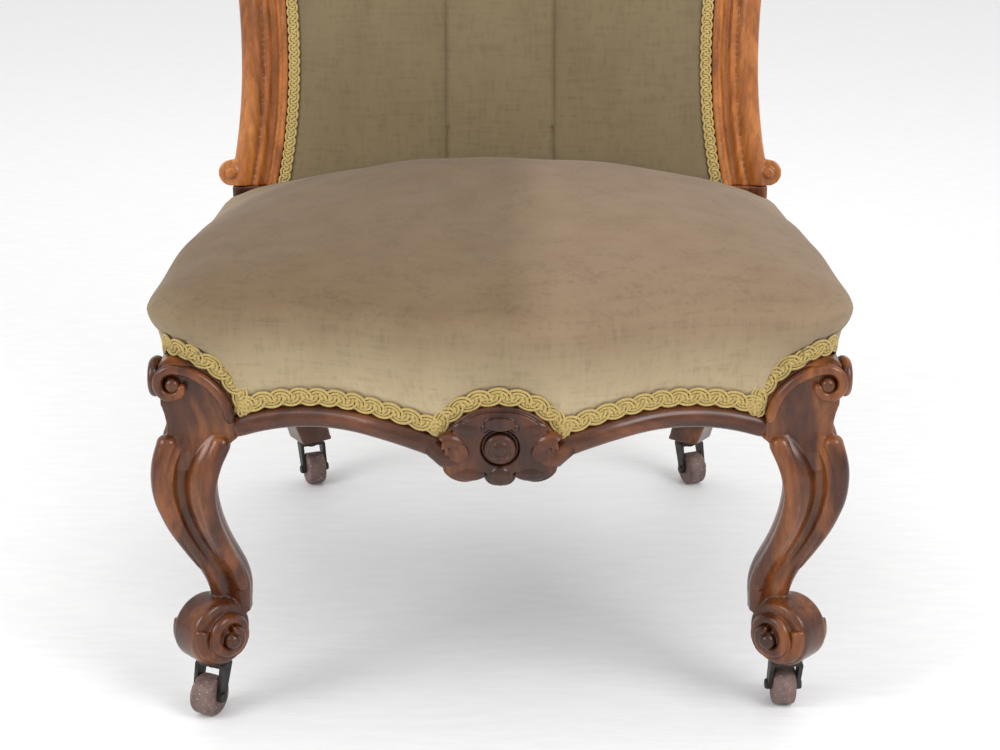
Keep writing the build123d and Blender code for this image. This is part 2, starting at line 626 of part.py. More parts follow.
def make_front_rail():
    with BuildPart() as body:
        extrude(front_band(ROLL_PROUD, ROLL_PROUD + RAIL_THICKNESS), amount=RAIL_TOP_Z)
        extrude(front_elevation(ROLL_HEIGHT / 2, RAIL_TOP_Z), amount=FAR, both=True, mode=Mode.INTERSECT)
    with BuildPart() as roll:
        extrude(front_band(0, ROLL_PROUD + RAIL_THICKNESS - WEB_LEDGE), amount=RAIL_TOP_Z)
        extrude(front_elevation(0, ROLL_HEIGHT), amount=FAR, both=True, mode=Mode.INTERSECT)
        front_faces = roll.faces().filter_by(lambda face: face.normal_at().Y < -COS_45)
        front_rims = front_faces.edges().filter_by(lambda edge: abs(edge.center().X) < RAIL_HALF - GLUE_GAP)
        long_rims = front_rims.filter_by(lambda edge: edge.bounding_box().size.Z < ROLL_HEIGHT)
        fillet(long_rims, ROLL_ROUND)
    with BuildPart() as rail:
        add(body.part)
        add(roll.part)
        extrude(front_band(ROLL_PROUD + RAIL_THICKNESS - WEB_LEDGE, FAR), amount=WEB_Z, mode=Mode.SUBTRACT)
        extrude(cartouche_outline(0, CARTOUCHE_SEAT), amount=FAR, mode=Mode.SUBTRACT)
        bore_dowels(FRONT_RAIL_DOWELS + mirrored_joints(FRONT_RAIL_DOWELS))
    return rail.part


# Side and back rails
def side_band(near, far):
    """Plan of a straight strip along the right side rail, between two distances inside the cloth's face."""
    with BuildSketch() as band:
        with BuildLine():
            Polyline((side_face(SIDE_FRONT_Y) - near, SIDE_FRONT_Y),
                     (side_face(SIDE_BACK_Y) - near, SIDE_BACK_Y),
                     (side_face(SIDE_BACK_Y) - far, SIDE_BACK_Y),
                     (side_face(SIDE_FRONT_Y) - far, SIDE_FRONT_Y),
                     close=True)
        make_face()
    return band.sketch


def side_elevation(low, high, plane=Plane.YZ):
    """Side view of a strip that follows a side rail's lower edge."""
    middle_y = (SIDE_FRONT_Y + SIDE_BACK_Y) / 2
    with BuildSketch(plane) as strip:
        with BuildLine():
            for rise in (low, high):
                ThreePointArc((SIDE_FRONT_Y, RAIL_LOW_END + rise), (middle_y, RAIL_LOW_ARCH + rise),
                              (SIDE_BACK_Y, RAIL_LOW_END + rise))
            Line((SIDE_FRONT_Y, RAIL_LOW_END + low), (SIDE_FRONT_Y, RAIL_LOW_END + high))
            Line((SIDE_BACK_Y, RAIL_LOW_END + low), (SIDE_BACK_Y, RAIL_LOW_END + high))
        make_face()
    return strip.sketch


def make_side_rail():
    with BuildPart() as body:
        extrude(side_band(0, RAIL_THICKNESS), amount=RAIL_TOP_Z)
        extrude(side_elevation(ROLL_HEIGHT / 2, RAIL_TOP_Z), amount=FAR, both=True, mode=Mode.INTERSECT)
    with BuildPart() as roll:
        extrude(side_band(-ROLL_PROUD, RAIL_THICKNESS - WEB_LEDGE), amount=RAIL_TOP_Z)
        extrude(side_elevation(0, ROLL_HEIGHT), amount=FAR, both=True, mode=Mode.INTERSECT)
        long_edges = roll.edges().filter_by(lambda edge: edge.length > SIDE_LENGTH / 2)
        fillet(long_edges.sort_by(Axis.X)[-2:], ROLL_ROUND)
    with BuildPart() as rail:
        add(body.part)
        add(roll.part)
        extrude(side_band(RAIL_THICKNESS - WEB_LEDGE, RAIL_THICKNESS + 1), amount=WEB_Z, mode=Mode.SUBTRACT)
        bore_dowels(SIDE_FRONT_DOWELS + SIDE_BACK_DOWELS)
    return rail.part


def make_back_leg(place):
    """Right back leg: upright beside the seat rails, then sweeping back, in and round to its caster."""
    def section(height, share):
        x = BACK_LEG_TOP_X + (BACK_PIVOT_X - BACK_LEG_TOP_X) * share
        y = BACK_LEG_TOP_Y + (BACK_PIVOT_Y - BACK_LEG_TOP_Y) * share ** 1.6
        turn = math.radians(-BACK_LEG_TURN * share)
        plane = Plane(origin=(x, y, height), x_dir=(math.cos(turn), math.sin(turn), 0), z_dir=(0, 0, 1))
        with BuildSketch(plane) as outline:
            RectangleRounded(BACK_LEG_TOP_WIDTH + (BACK_LEG_FOOT - BACK_LEG_TOP_WIDTH) * share,
                             BACK_LEG_TOP_DEPTH + (BACK_LEG_FOOT - BACK_LEG_TOP_DEPTH) * share, 3.0)
        return outline.sketch

    drop = BACK_RAIL_LOW_Z - FOOT_Z
    with BuildPart() as leg:
        loft([section(FOOT_Z + drop * (1 - share), share) for share in (1.0, 0.75, 0.5, 0.25, 0.0)])
        extrude(section(BACK_RAIL_LOW_Z, 0.0), amount=BACK_Z + BACK_LEG_TOP_DEPTH - BACK_RAIL_LOW_Z)
        split(bisect_by=STILE_SEAT_PLANE, keep=Keep.BOTTOM)
        cut_caster_socket(place)
        bore_dowels(SIDE_BACK_DOWELS + BACK_RAIL_DOWELS + STILE_DOWELS)
    return leg.part


def make_back_rail():
    half = BACK_LEG_TOP_X - BACK_LEG_TOP_WIDTH / 2
    with BuildPart() as rail:
        with BuildSketch(Plane.XY.offset(BACK_RAIL_LOW_Z)):
            with Locations((0, BACK_LEG_TOP_Y)):
                Rectangle(2 * half, BACK_RAIL_THICKNESS)
        extrude(amount=RAIL_TOP_Z - BACK_RAIL_LOW_Z)
        with BuildSketch():
            with Locations((0, BACK_RAIL_FRONT_Y)):
                Rectangle(2 * half, 2 * WEB_LEDGE)
        extrude(amount=WEB_Z, mode=Mode.SUBTRACT)
        chamfer(rail.edges().group_by(Axis.Z)[0].filter_by(Axis.Y), BACK_RAIL_EASE)
        bore_dowels(BACK_RAIL_DOWELS + mirrored_joints(BACK_RAIL_DOWELS))
    return rail.part


def make_corner_blocks():
    low = WEB_Z + BLOCK_LOW_GAP
    post_x = RAIL_HALF
    post_y = SIDE_FRONT_Y
    front_edge = [(x, bow(x) + ROLL_PROUD + RAIL_THICKNESS + GLUE_GAP)
                  for x in evenly(post_x - BLOCK_LEG, post_x - GLUE_GAP, 9)]
    side_x = side_face(SIDE_FRONT_Y + BLOCK_LEG) - RAIL_THICKNESS - GLUE_GAP
    leg_x = BACK_LEG_TOP_X - BACK_LEG_TOP_WIDTH / 2
    rear_side_x = side_face(SIDE_BACK_Y) - RAIL_THICKNESS - GLUE_GAP
    with BuildPart() as blocks:
        with BuildSketch(Plane.XY.offset(low)):
            with BuildLine():
                Polyline(*front_edge, (post_x - GLUE_GAP, post_y + GLUE_GAP), (side_x, post_y + GLUE_GAP),
                         (side_x, post_y + BLOCK_LEG), close=True)
            make_face()
            with BuildLine():
                Polyline((rear_side_x, SIDE_BACK_Y - BLOCK_LEG), (rear_side_x, SIDE_BACK_Y - GLUE_GAP),
                         (leg_x - GLUE_GAP, SIDE_BACK_Y - GLUE_GAP),
                         (leg_x - GLUE_GAP, BACK_RAIL_FRONT_Y - GLUE_GAP),
                         (leg_x - BLOCK_LEG, BACK_RAIL_FRONT_Y - GLUE_GAP), close=True)
            make_face()
        extrude(amount=RAIL_TOP_Z - BLOCK_LOW_GAP - low)
        mirror(about=Plane.YZ)
    return blocks.part


# Back frame
CREST_RISE = CREST_TOP_S - STILE_SHOULDER_S


def frame_point(u):
    """Outer edge of the back frame's right half: foot at 0, waist, shoulder, then the crest's middle at 1."""
    if u <= STILE_SHARE:
        s = STILE_SHOULDER_S * u / STILE_SHARE
        if s <= STILE_WAIST_S:
            flare = (1 - s / STILE_WAIST_S) ** 2
            return Vector(STILE_WAIST_X + (STILE_FLARE_X - STILE_WAIST_X) * flare, s)
        rise = (1 - math.cos(math.pi * (s - STILE_WAIST_S) / (STILE_SHOULDER_S - STILE_WAIST_S))) / 2
        return Vector(STILE_WAIST_X + (STILE_SHOULDER_X - STILE_WAIST_X) * rise, s)
    angle = math.pi / 2 * min((u - STILE_SHARE) / (1 - STILE_SHARE), 1)
    across = math.cos(angle) if angle < math.pi / 2 else 0.0
    return Vector(STILE_SHOULDER_X * across ** (2 / CREST_POWER),
                  STILE_SHOULDER_S + CREST_RISE * math.sin(angle) ** (2 / CREST_POWER))


def frame_heading(u):
    if u >= 1:
        return Vector(-1, 0)
    step = 0.002
    return (frame_point(u + step) - frame_point(u - step)).normalized()


def frame_inside(u, inset):
    """Point set in from the frame's outer edge."""
    heading = frame_heading(u)
    return frame_point(u) + Vector(-heading.Y, heading.X) * inset


def pairs(points):
    return [(point.X, point.Y) for point in points]


def flip(point):
    return Vector(-point.X, point.Y)


def on_back(heading):
    """Direction in space of a direction along the back's plane."""
    return Vector(1, 0, 0) * heading.X + BACK_UP * heading.Y


CREST_JOINT_U = STILE_SHARE + (1 - STILE_SHARE) * 2 / math.pi * math.asin(
    ((CREST_JOINT_S - STILE_SHOULDER_S) / CREST_RISE) ** (CREST_POWER / 2))
STILE_FOOT_U = -0.03
BRAID_FOOT_U = 0.06
JOINT_HEADING = frame_heading(CREST_JOINT_U)
JOINT_POINT = frame_inside(CREST_JOINT_U, STILE_WIDTH / 2)
CREST_DOWELS = [Plane(origin=BACK_PLANE.from_local_coords((JOINT_POINT.X, JOINT_POINT.Y, -STILE_LIP)),
                      z_dir=on_back(JOINT_HEADING))]


def moulding_profile(path):
    """Moulding across the frame from its outer edge: big roll, bead, cove, two fine beads, rebate behind."""
    heading = path % 0
    plane = Plane(origin=path @ 0, x_dir=BACK_FRONT.cross(heading), z_dir=heading)
    step = STILE_WIDTH - STILE_REBATE
    with BuildSketch(plane) as profile:
        with BuildLine():
            Line((0, -STILE_BACK), (0, MOULDING_START))
            x = 0
            height = MOULDING_START
            for width, middle, end in MOULDING:
                ThreePointArc((x, height), (x + width / 2, middle), (x + width, end))
                x += width
                height = end
            Polyline((x, height), (x, -STILE_LIP), (step, -STILE_LIP), (step, -STILE_BACK), (0, -STILE_BACK))
        make_face()
    return profile.sketch


def make_stile():
    """Right stile, with a small scroll where its foot turns outwards."""
    stations = evenly(STILE_FOOT_U, CREST_JOINT_U, 12)
    with BuildLine(BACK_PLANE) as path:
        Spline(*pairs([frame_point(u) for u in stations]),
               tangents=[on_back(frame_heading(STILE_FOOT_U)), on_back(JOINT_HEADING)])
    scroll_x = STILE_FLARE_X - STILE_SCROLL_RADIUS * 0.2
    with BuildPart() as stile:
        sweep(moulding_profile(path.line), path=path.line)
        with BuildSketch(BACK_PLANE.offset(-STILE_BACK)):
            with Locations((scroll_x, STILE_SCROLL_RADIUS)):
                Circle(STILE_SCROLL_RADIUS)
        extrude(amount=STILE_BACK + STILE_SCROLL_PROUD)
        with BuildSketch(BACK_PLANE):
            with Locations((scroll_x, STILE_SCROLL_RADIUS)):
                Circle(STILE_SCROLL_RADIUS * 0.4)
        extrude(amount=STILE_EYE_PROUD)
        split(bisect_by=STILE_SEAT_PLANE, keep=Keep.TOP)
        bore_dowels(STILE_DOWELS + CREST_DOWELS)
    return stile.part


def make_crest():
    stations = evenly(CREST_JOINT_U, 1, 8)
    right = [frame_point(u) for u in stations]
    left = [flip(point) for point in reversed(right[:-1])]
    with BuildLine(BACK_PLANE) as path:
        Spline(*pairs(right + left), tangents=[on_back(JOINT_HEADING), on_back(flip(JOINT_HEADING) * -1)])
    with BuildPart() as crest:
        sweep(moulding_profile(path.line), path=path.line)
        bore_dowels(CREST_DOWELS + mirrored_joints(CREST_DOWELS))
    return crest.part


def make_back_bottom_rail(stile):
    """Hidden lower rail of the back, between the stiles and behind the pad's hessian."""
    low_s = PAD_LOW_S
    high_s = PAD_LOW_S + 1.5 * RAIL_THICKNESS
    half = STILE_WAIST_X - STILE_WIDTH / 2
    with BuildPart() as rail:
        with BuildSketch(BACK_PLANE.offset(-STILE_BACK)):
            with Locations((0, (low_s + high_s) / 2)):
                Rectangle(2 * half, high_s - low_s)
        extrude(amount=STILE_BACK - STILE_LIP - HESSIAN_THICKNESS - CLOTH_GAP)
        add(stile, mode=Mode.SUBTRACT)
        mirror(stile, about=Plane.YZ, mode=Mode.SUBTRACT)
    return rail.part


# Back upholstery
def back_ring(inset, low_s, shrink=1.0):
    """Outline inside the back frame, up one side and down the other, drawn in to its middle where shrunk."""
    lowest = STILE_SHARE * low_s / STILE_SHOULDER_S
    right = [frame_inside(u, inset) for u in evenly(lowest, 1, 18)]
    ring = right + [flip(point) for point in reversed(right[:-1])]
    middle = Vector(0, (low_s + CREST_TOP_S - inset) / 2)
    return [middle + (point - middle) * shrink for point in ring]


def back_outline(depth, ring):
    with BuildSketch(BACK_PLANE.offset(depth)) as outline:
        with BuildLine():
            arch = Spline(*pairs(ring))
            Line(arch @ 0, arch @ 1)
        make_face()
    return outline.sketch


PAD_INSET = STILE_WIDTH + PAD_EDGE_GAP
BUTTONS = [(side * BUTTON_PITCH_X, BUTTON_FIRST_S + row * BUTTON_PITCH_S)
           for row in (0, 2) for side in (-1, 1)]
BUTTONS += [(column * 2 * BUTTON_PITCH_X, BUTTON_FIRST_S + BUTTON_PITCH_S) for column in (-1, 0, 1)]


def channel_lines():
    """Pleats of the back: up from the seat, round the diamonds between buttons and out to the frame."""
    low = BUTTON_FIRST_S
    middle = low + BUTTON_PITCH_S
    high = middle + BUTTON_PITCH_S
    near = BUTTON_PITCH_X
    wide = 2 * BUTTON_PITCH_X
    lines = []
    for side in (-1, 1):
        lines.append(((side * near, PAD_LOW_S), (side * near, low)))
        lines.append(((side * near, low), (0, middle)))
        lines.append(((side * near, low), (side * wide, middle)))
        lines.append(((0, middle), (side * near, high)))
        lines.append(((side * wide, middle), (side * near, high)))
        lines.append(((side * near, high), (side * near * 1.2, CREST_TOP_S - STILE_WIDTH)))
        lines.append(((side * wide, middle), (side * (STILE_SHOULDER_X - STILE_WIDTH), middle + near / 2)))
    return lines


def make_back_pad():
    """Crowned pad, drawn in under its braid, with pleats along lines and dimples at the buttons."""
    border = PAD_CROWN * PAD_BORDER_SHARE
    welt = PAD_INSET + BACK_BRAID_WIDTH + PAD_EDGE_GAP
    with BuildPart() as pad:
        loft([
            back_outline(-STILE_LIP + CLOTH_GAP, back_ring(PAD_INSET, PAD_LOW_S)),
            back_outline(border - PAD_EDGE_GAP, back_ring(PAD_INSET, PAD_LOW_S)),
            back_outline(border, back_ring(welt, PAD_LOW_S)),
            back_outline(PAD_CROWN * 0.6, back_ring(welt + PAD_CROWN * 0.2, PAD_LOW_S)),
            back_outline(PAD_CROWN * 0.9, back_ring(welt + PAD_CROWN, PAD_LOW_S, 0.96)),
            back_outline(PAD_CROWN, back_ring(welt + PAD_CROWN, PAD_LOW_S, 0.6)),
        ], ruled=True)
        for start, end in channel_lines():
            run = Vector(end[0] - start[0], end[1] - start[1])
            middle = ((start[0] + end[0]) / 2, (start[1] + end[1]) / 2)
            heading = on_back(run.normalized())
            across = heading.cross(BACK_FRONT)
            groove = Plane(origin=BACK_PLANE.from_local_coords((*middle, PAD_CROWN)),
                           x_dir=across + BACK_FRONT, z_dir=heading)
            with Locations(groove.location):
                Box(PAD_CHANNEL, PAD_CHANNEL, run.length, mode=Mode.SUBTRACT)
        for x, s in BUTTONS:
            with Locations(BACK_PLANE.offset(PAD_CROWN).location * Location((x, s, 0))):
                Cone(BUTTON_RADIUS * 0.9, BUTTON_RADIUS * 2, PAD_CROWN * 0.6, mode=Mode.SUBTRACT)
    return pad.part


def make_back_buttons():
    with BuildPart() as buttons:
        for x, s in BUTTONS:
            with Locations(BACK_PLANE.offset(PAD_CROWN * 0.7 + CLOTH_GAP).location * Location((x, s, 0))):
                Cylinder(BUTTON_RADIUS * 0.8, PAD_CROWN * 0.25, align=(Align.CENTER, Align.CENTER, Align.MIN))
        fillet(buttons.faces().filter_by(BACK_PLANE).group_by(SortBy.AREA)[0].edges(), BUTTON_RADIUS * 0.1)
    return buttons.part


def make_back_hessian():
    with BuildPart() as hessian:
        ring = back_ring(STILE_WIDTH - STILE_REBATE + PAD_EDGE_GAP, PAD_LOW_S)
        extrude(back_outline(-STILE_LIP - HESSIAN_THICKNESS, ring), amount=HESSIAN_THICKNESS)
    return hessian.part


def make_back_braid():
    """Narrow braid on the pad's border, up one side, over the crest and down the other."""
    depth = PAD_CROWN * PAD_BORDER_SHARE + CLOTH_GAP
    stations = evenly(BRAID_FOOT_U, 1, 17)
    with BuildPart() as braid:
        with BuildSketch(BACK_PLANE.offset(depth)):
            with BuildLine():
                edges = []
                for inset in (PAD_INSET, PAD_INSET + BACK_BRAID_WIDTH):
                    right = [frame_inside(u, inset) for u in stations]
                    edges.append(Spline(*pairs(right + [flip(point) for point in reversed(right[:-1])])))
                Line(edges[0] @ 0, edges[1] @ 0)
                Line(edges[0] @ 1, edges[1] @ 1)
            make_face()
        extrude(amount=BRAID_THICKNESS)
    return braid.part


def make_outside_back():
    with BuildPart() as panel:
        extrude(back_outline(-STILE_BACK - CLOTH_GAP - OUTSIDE_BACK_THICKNESS,
                             back_ring(STILE_REBATE, STILE_REBATE)), amount=OUTSIDE_BACK_THICKNESS)
    return panel.part


# Seat upholstery
def seat_outline(height, grow, shrink=1.0):
    """Plan of the seat round the rails' cloth-covered faces, moved out by some growth.

    The straight back edge never swells. A shrunken outline is drawn in towards the seat's middle.
    """
    front_round = max(SEAT_CORNER + grow, SEAT_REAR_CORNER)
    rear_round = max(SEAT_REAR_CORNER + grow, SEAT_REAR_CORNER / 2)
    front_x = RAIL_FACE_X + grow - front_round
    front_y = ROLL_FACE_Y + ROLL_PROUD - grow + front_round
    back_y = SEAT_BACK_EDGE_Y + min(grow, 0)
    rear_x = side_face(SEAT_BACK_EDGE_Y) + grow * (1 + SEAT_REAR_SWELL) - rear_round
    rear_y = back_y - rear_round

    def place(x, y):
        return (x * shrink, SEAT_MIDDLE_Y + (y - SEAT_MIDDLE_Y) * shrink)

    def corner(x, y, radius, side, ends):
        turns = [math.radians(turn) for turn in ends]
        return [place(side * (x + radius * math.cos(turn)), y + radius * math.sin(turn)) for turn in turns]

    wave = [place(x, bow(x) + ROLL_PROUD - grow) for x in BOW_STATIONS]
    with BuildSketch(Plane.XY.offset(height)) as outline:
        with BuildLine():
            bow_arcs(wave)
            for side in (-1, 1):
                front = corner(front_x, front_y, front_round, side, (-90, -45, 0))
                rear = corner(rear_x, rear_y, rear_round, side, (0, 45, 90))
                Line(wave[0 if side < 0 else -1], front[0])
                ThreePointArc(*front)
                Line(front[2], rear[0])
                ThreePointArc(*rear)
            Line(place(-rear_x, back_y), place(rear_x, back_y))
        make_face()
    return outline.sketch


def make_mound(low_z, extra):
    """Solid of the domed seat, moved out by some extra: upright skirt, swollen sides and crown."""
    crown = SEAT_CROWN_Z - SEAT_WIDEST_Z
    skirt = COVER_THICKNESS + SKIRT_GAP
    swell = SEAT_BULGE - skirt
    layers = [seat_outline(SKIRT_TOP_Z, skirt + extra)]
    layers.append(seat_outline((SKIRT_TOP_Z + SEAT_WIDEST_Z) / 2, skirt + 0.75 * swell + extra))
    for share in (0.0, 0.3, 0.6, 0.85, 0.98):
        shrink = (1 - share ** 3) ** 0.4
        layers.append(seat_outline(SEAT_WIDEST_Z + (crown + extra) * share, SEAT_BULGE + extra, shrink))
    with BuildPart() as mound:
        extrude(seat_outline(low_z, skirt + extra), amount=SKIRT_TOP_Z - low_z)
        loft(layers, ruled=True)
    return mound.part


def knee_opening(margin):
    """Room for the right knee in the cloth: everything under its scroll, out past the corner."""
    start, middle, end = scroll_top_arc(-margin)
    far = 2 * KNEE_FACE
    volute = KNEE_TOP_Z - SCROLL_EYE_Z + margin
    with BuildPart() as opening:
        with BuildSketch(KNEE_PLANE.offset(-KNEE_ROOT - margin)):
            with BuildLine():
                ThreePointArc(start, middle, end)
                ThreePointArc(end, (SCROLL_EYE_X + COS_45 * volute, SCROLL_EYE_Z + COS_45 * volute),
                              (SCROLL_EYE_X + volute, SCROLL_EYE_Z))
                Polyline((SCROLL_EYE_X + volute, SCROLL_EYE_Z), (far, SCROLL_EYE_Z), (far, KNEE_LOW_Z),
                         (start[0], KNEE_LOW_Z), start)
            make_face()
        extrude(amount=KNEE_ROOT + margin + far)
        mirror(opening.part, about=DIAGONAL, mode=Mode.INTERSECT)
    return opening.part


def make_under_skirt(lift):
    """Everything below the cloth's lower edge: under the rolls, cartouche, both knees and back edge."""
    knee = knee_opening(lift)
    inside_front = Plane.XZ.offset(-SIDE_FRONT_Y)
    with BuildPart() as under:
        extrude(front_elevation(-FAR, ROLL_HEIGHT + lift, inside_front), amount=FAR)
        extrude(cartouche_outline(lift, inside_front), amount=FAR)
        extrude(side_elevation(-FAR, ROLL_HEIGHT + lift, Plane.YZ.offset(RAIL_HALF)), amount=FAR)
        add(knee)
        mirror(about=Plane.YZ)
        with BuildSketch(Plane.XY):
            with Locations((0, SEAT_BACK_EDGE_Y)):
                Rectangle(2 * FAR, 2.4 * SEAT_REAR_CORNER)
        extrude(amount=RAIL_TOP_Z + 2 * CLOTH_GAP)
    return under.part


def make_seat_cover(under):
    """Velvet cover: one skin over the stuffing, down over the rails to the show-wood."""
    with BuildPart() as cover:
        add(make_mound(RAIL_LOW_CENTRE, 0))
        add(make_mound(RAIL_LOW_CENTRE - 1, -COVER_THICKNESS), mode=Mode.SUBTRACT)
        add(under, mode=Mode.SUBTRACT)
    return cover.part


def make_seat_stuffing(under):
    """Horsehair between the cover and the spring cloth, hollowed to lie a gap above the cloth."""
    low = RAIL_TOP_Z + CLOTH_GAP
    with BuildPart() as stuffing:
        add(make_mound(low, -COVER_THICKNESS - CLOTH_GAP))
        add(Pos(0, 0, SKIRT_GAP) * hessian_tray(0), mode=Mode.SUBTRACT)
        foot = seat_outline(low - SKIRT_GAP, SKIRT_GAP - HESSIAN_INSET)
        extrude(foot, amount=2 * SKIRT_GAP, mode=Mode.SUBTRACT)
        add(under, mode=Mode.SUBTRACT)
    return stuffing.part


def make_seat_braid(under, under_braid):
    """Braid along the cover's lower edge, round the front and both sides of the show-wood."""
    inner = COVER_THICKNESS + SKIRT_GAP + CLOTH_GAP
    rise = SKIRT_TOP_Z - RAIL_LOW_CENTRE
    with BuildPart() as braid:
        extrude(seat_outline(RAIL_LOW_CENTRE, inner + BRAID_THICKNESS), amount=rise)
        extrude(seat_outline(RAIL_LOW_CENTRE, inner), amount=rise, mode=Mode.SUBTRACT)
        add(under, mode=Mode.SUBTRACT)
        add(under_braid, mode=Mode.INTERSECT)
    return braid.part


def hessian_tray(extra):
    """Spring cloth stretched over the springs and down to the rails, as a closed mound."""
    with BuildPart() as tray:
        loft([seat_outline(RAIL_TOP_Z + CLOTH_GAP - abs(extra), extra - HESSIAN_INSET),
              seat_outline(HESSIAN_TOP_Z + extra, extra - HESSIAN_INSET, HESSIAN_TOP_SHARE)], ruled=True)
    return tray.part


def make_spring_hessian(under):
    with BuildPart() as hessian:
        add(hessian_tray(0))
        add(hessian_tray(-HESSIAN_THICKNESS), mode=Mode.SUBTRACT)
        add(under, mode=Mode.SUBTRACT)
    return hessian.part


SPRING_PLACES = [(side * SPRING_X, y) for side in (-1, 1) for y in (SPRING_FRONT_Y, SPRING_BACK_Y)]
SPRING_PLACES.append((0, SPRING_MIDDLE_Y))


def make_springs():
    """Double-cone seat springs, each one wire wound from the webbing up to the spring cloth."""
    low = WEB_Z + SPRING_WIRE / 2 + CLOTH_GAP
    high = HESSIAN_TOP_Z - HESSIAN_THICKNESS - SPRING_WIRE / 2 - CLOTH_GAP
    points = []
    for share in evenly(0, 1, int(12 * SPRING_TURNS) + 1):
        radius = SPRING_WAIST_RADIUS + (SPRING_END_RADIUS - SPRING_WAIST_RADIUS) * (2 * share - 1) ** 2
        angle = 2 * math.pi * SPRING_TURNS * share
        points.append((radius * math.cos(angle), radius * math.sin(angle), low + (high - low) * share))
    with BuildLine() as wire:
        Spline(*points)
    with BuildPart() as spring:
        with BuildSketch(Plane(origin=wire.line @ 0, z_dir=wire.line % 0)):
            RegularPolygon(SPRING_WIRE / 2, 6)
        sweep(path=wire.line, is_frenet=True)
    with BuildPart() as springs:
        for x, y in SPRING_PLACES:
            add(Pos(x, y, 0) * spring.part)
    return springs.part


def make_webbing(lengthwise):
    """Webbing strips tacked under the rails' ledges; the crosswise strips lie under the lengthwise ones."""
    top = WEB_Z if lengthwise else WEB_Z - WEB_THICKNESS - CLOTH_GAP
    inner = RAIL_THICKNESS + CLOTH_GAP - WEB_LEDGE
    back_y = BACK_RAIL_FRONT_Y + WEB_LEDGE - CLOTH_GAP
    with BuildPart() as webbing:
        with BuildSketch(Plane.XY.offset(top - WEB_THICKNESS)):
            if lengthwise:
                for x in evenly(-1.5 * SPRING_X, 1.5 * SPRING_X, 5):
                    front_y = max(bow(x - WEB_WIDTH / 2), bow(x + WEB_WIDTH / 2)) + ROLL_PROUD + inner
                    with Locations((x, (front_y + back_y) / 2)):
                        Rectangle(WEB_WIDTH * 0.8, back_y - front_y)
            else:
                for y in (SPRING_FRONT_Y, SPRING_MIDDLE_Y, SPRING_BACK_Y):
                    with Locations((0, y)):
                        Rectangle(2 * (side_face(y + WEB_WIDTH / 2) - inner), WEB_WIDTH)
        extrude(amount=WEB_THICKNESS)
    return webbing.part


def make_dust_cover():
    """Black cloth closing the seat's underside, tacked inside the rails' ledges."""
    inner = RAIL_THICKNESS + SKIRT_GAP - WEB_LEDGE
    top = WEB_Z - 2 * (WEB_THICKNESS + CLOTH_GAP)
    with BuildPart() as cover:
        with BuildSketch(Plane.XY.offset(top - DUST_COVER_THICKNESS)):
            with BuildLine():
                bow_arcs([(x, bow(x) + ROLL_PROUD + inner) for x in BOW_STATIONS])
                corner_y = SIDE_FRONT_Y + CLOTH_GAP
                for side in (-1, 1):
                    leg_x = side * (BACK_LEG_TOP_X - BACK_LEG_TOP_WIDTH / 2 - CLOTH_GAP)
                    Polyline((side * RAIL_HALF, bow(RAIL_HALF) + ROLL_PROUD + inner),
                             (side * RAIL_HALF, corner_y),
                             (side * (side_face(corner_y) - inner), corner_y),
                             (side * (side_face(SIDE_BACK_Y) - inner), SIDE_BACK_Y - CLOTH_GAP),
                             (leg_x, SIDE_BACK_Y - CLOTH_GAP),
                             (leg_x, BACK_RAIL_FRONT_Y + WEB_LEDGE - CLOTH_GAP),
                             (0, BACK_RAIL_FRONT_Y + WEB_LEDGE - CLOTH_GAP))
            make_face()
        extrude(amount=DUST_COVER_THICKNESS)
    return cover.part


# Each caster: name, pivot, the way its wheel trails and the way its plate is turned
CASTERS = [
    ("front_left", -PIVOT_X, FRONT_PIVOT_Y, -115.0, -135.0),
    ("front_right", PIVOT_X, FRONT_PIVOT_Y, 90.0, -45.0),
    ("back_left", -BACK_PIVOT_X, BACK_PIVOT_Y, -68.0, BACK_LEG_TURN),
    ("back_right", BACK_PIVOT_X, BACK_PIVOT_Y, -68.0, -BACK_LEG_TURN),
]
plate_places = {name: caster_place(x, y, turn) for name, x, y, trail, turn in CASTERS}
for name, x, y, trail, turn in CASTERS:
    place = caster_place(x, y, trail)
    save(make_caster_wheel(place), f"{name}_caster_wheel")
    save(make_caster_axle(place), f"{name}_caster_axle")
    save(make_caster_fork(place), f"{name}_caster_fork")
    save(make_caster_pintle(place), f"{name}_caster_pintle")
    save(make_caster_plate(plate_places[name]), f"{name}_caster_plate")
save(make_plate_screws(plate_places.values()), "caster_plate_screws")

save_pair(make_front_leg(plate_places["front_right"]), "front_leg")
save_pair(make_back_leg(plate_places["back_right"]), "back_leg")
save_pair(make_side_rail(), "side_seat_rail")
save(make_front_rail(), "front_seat_rail")
save(make_cartouche(), "front_cartouche")
save(make_back_rail(), "back_seat_rail")
save(make_corner_blocks(), "corner_blocks")

stile = make_stile()
save_pair(stile, "back_stile")
save(make_crest(), "crest_rail")
save(make_back_bottom_rail(stile), "back_bottom_rail")
seat_joints = FRONT_RAIL_DOWELS + SIDE_FRONT_DOWELS + SIDE_BACK_DOWELS + BACK_RAIL_DOWELS
right_joints = seat_joints + STILE_DOWELS + CREST_DOWELS
save(make_dowels(right_joints + mirrored_joints(right_joints)), "frame_dowels")

save(make_back_pad(), "back_pad")
save(make_back_buttons(), "back_buttons")
save(make_back_hessian(), "back_hessian")
save(make_back_braid(), "back_braid")
save(make_outside_back(), "outside_back")

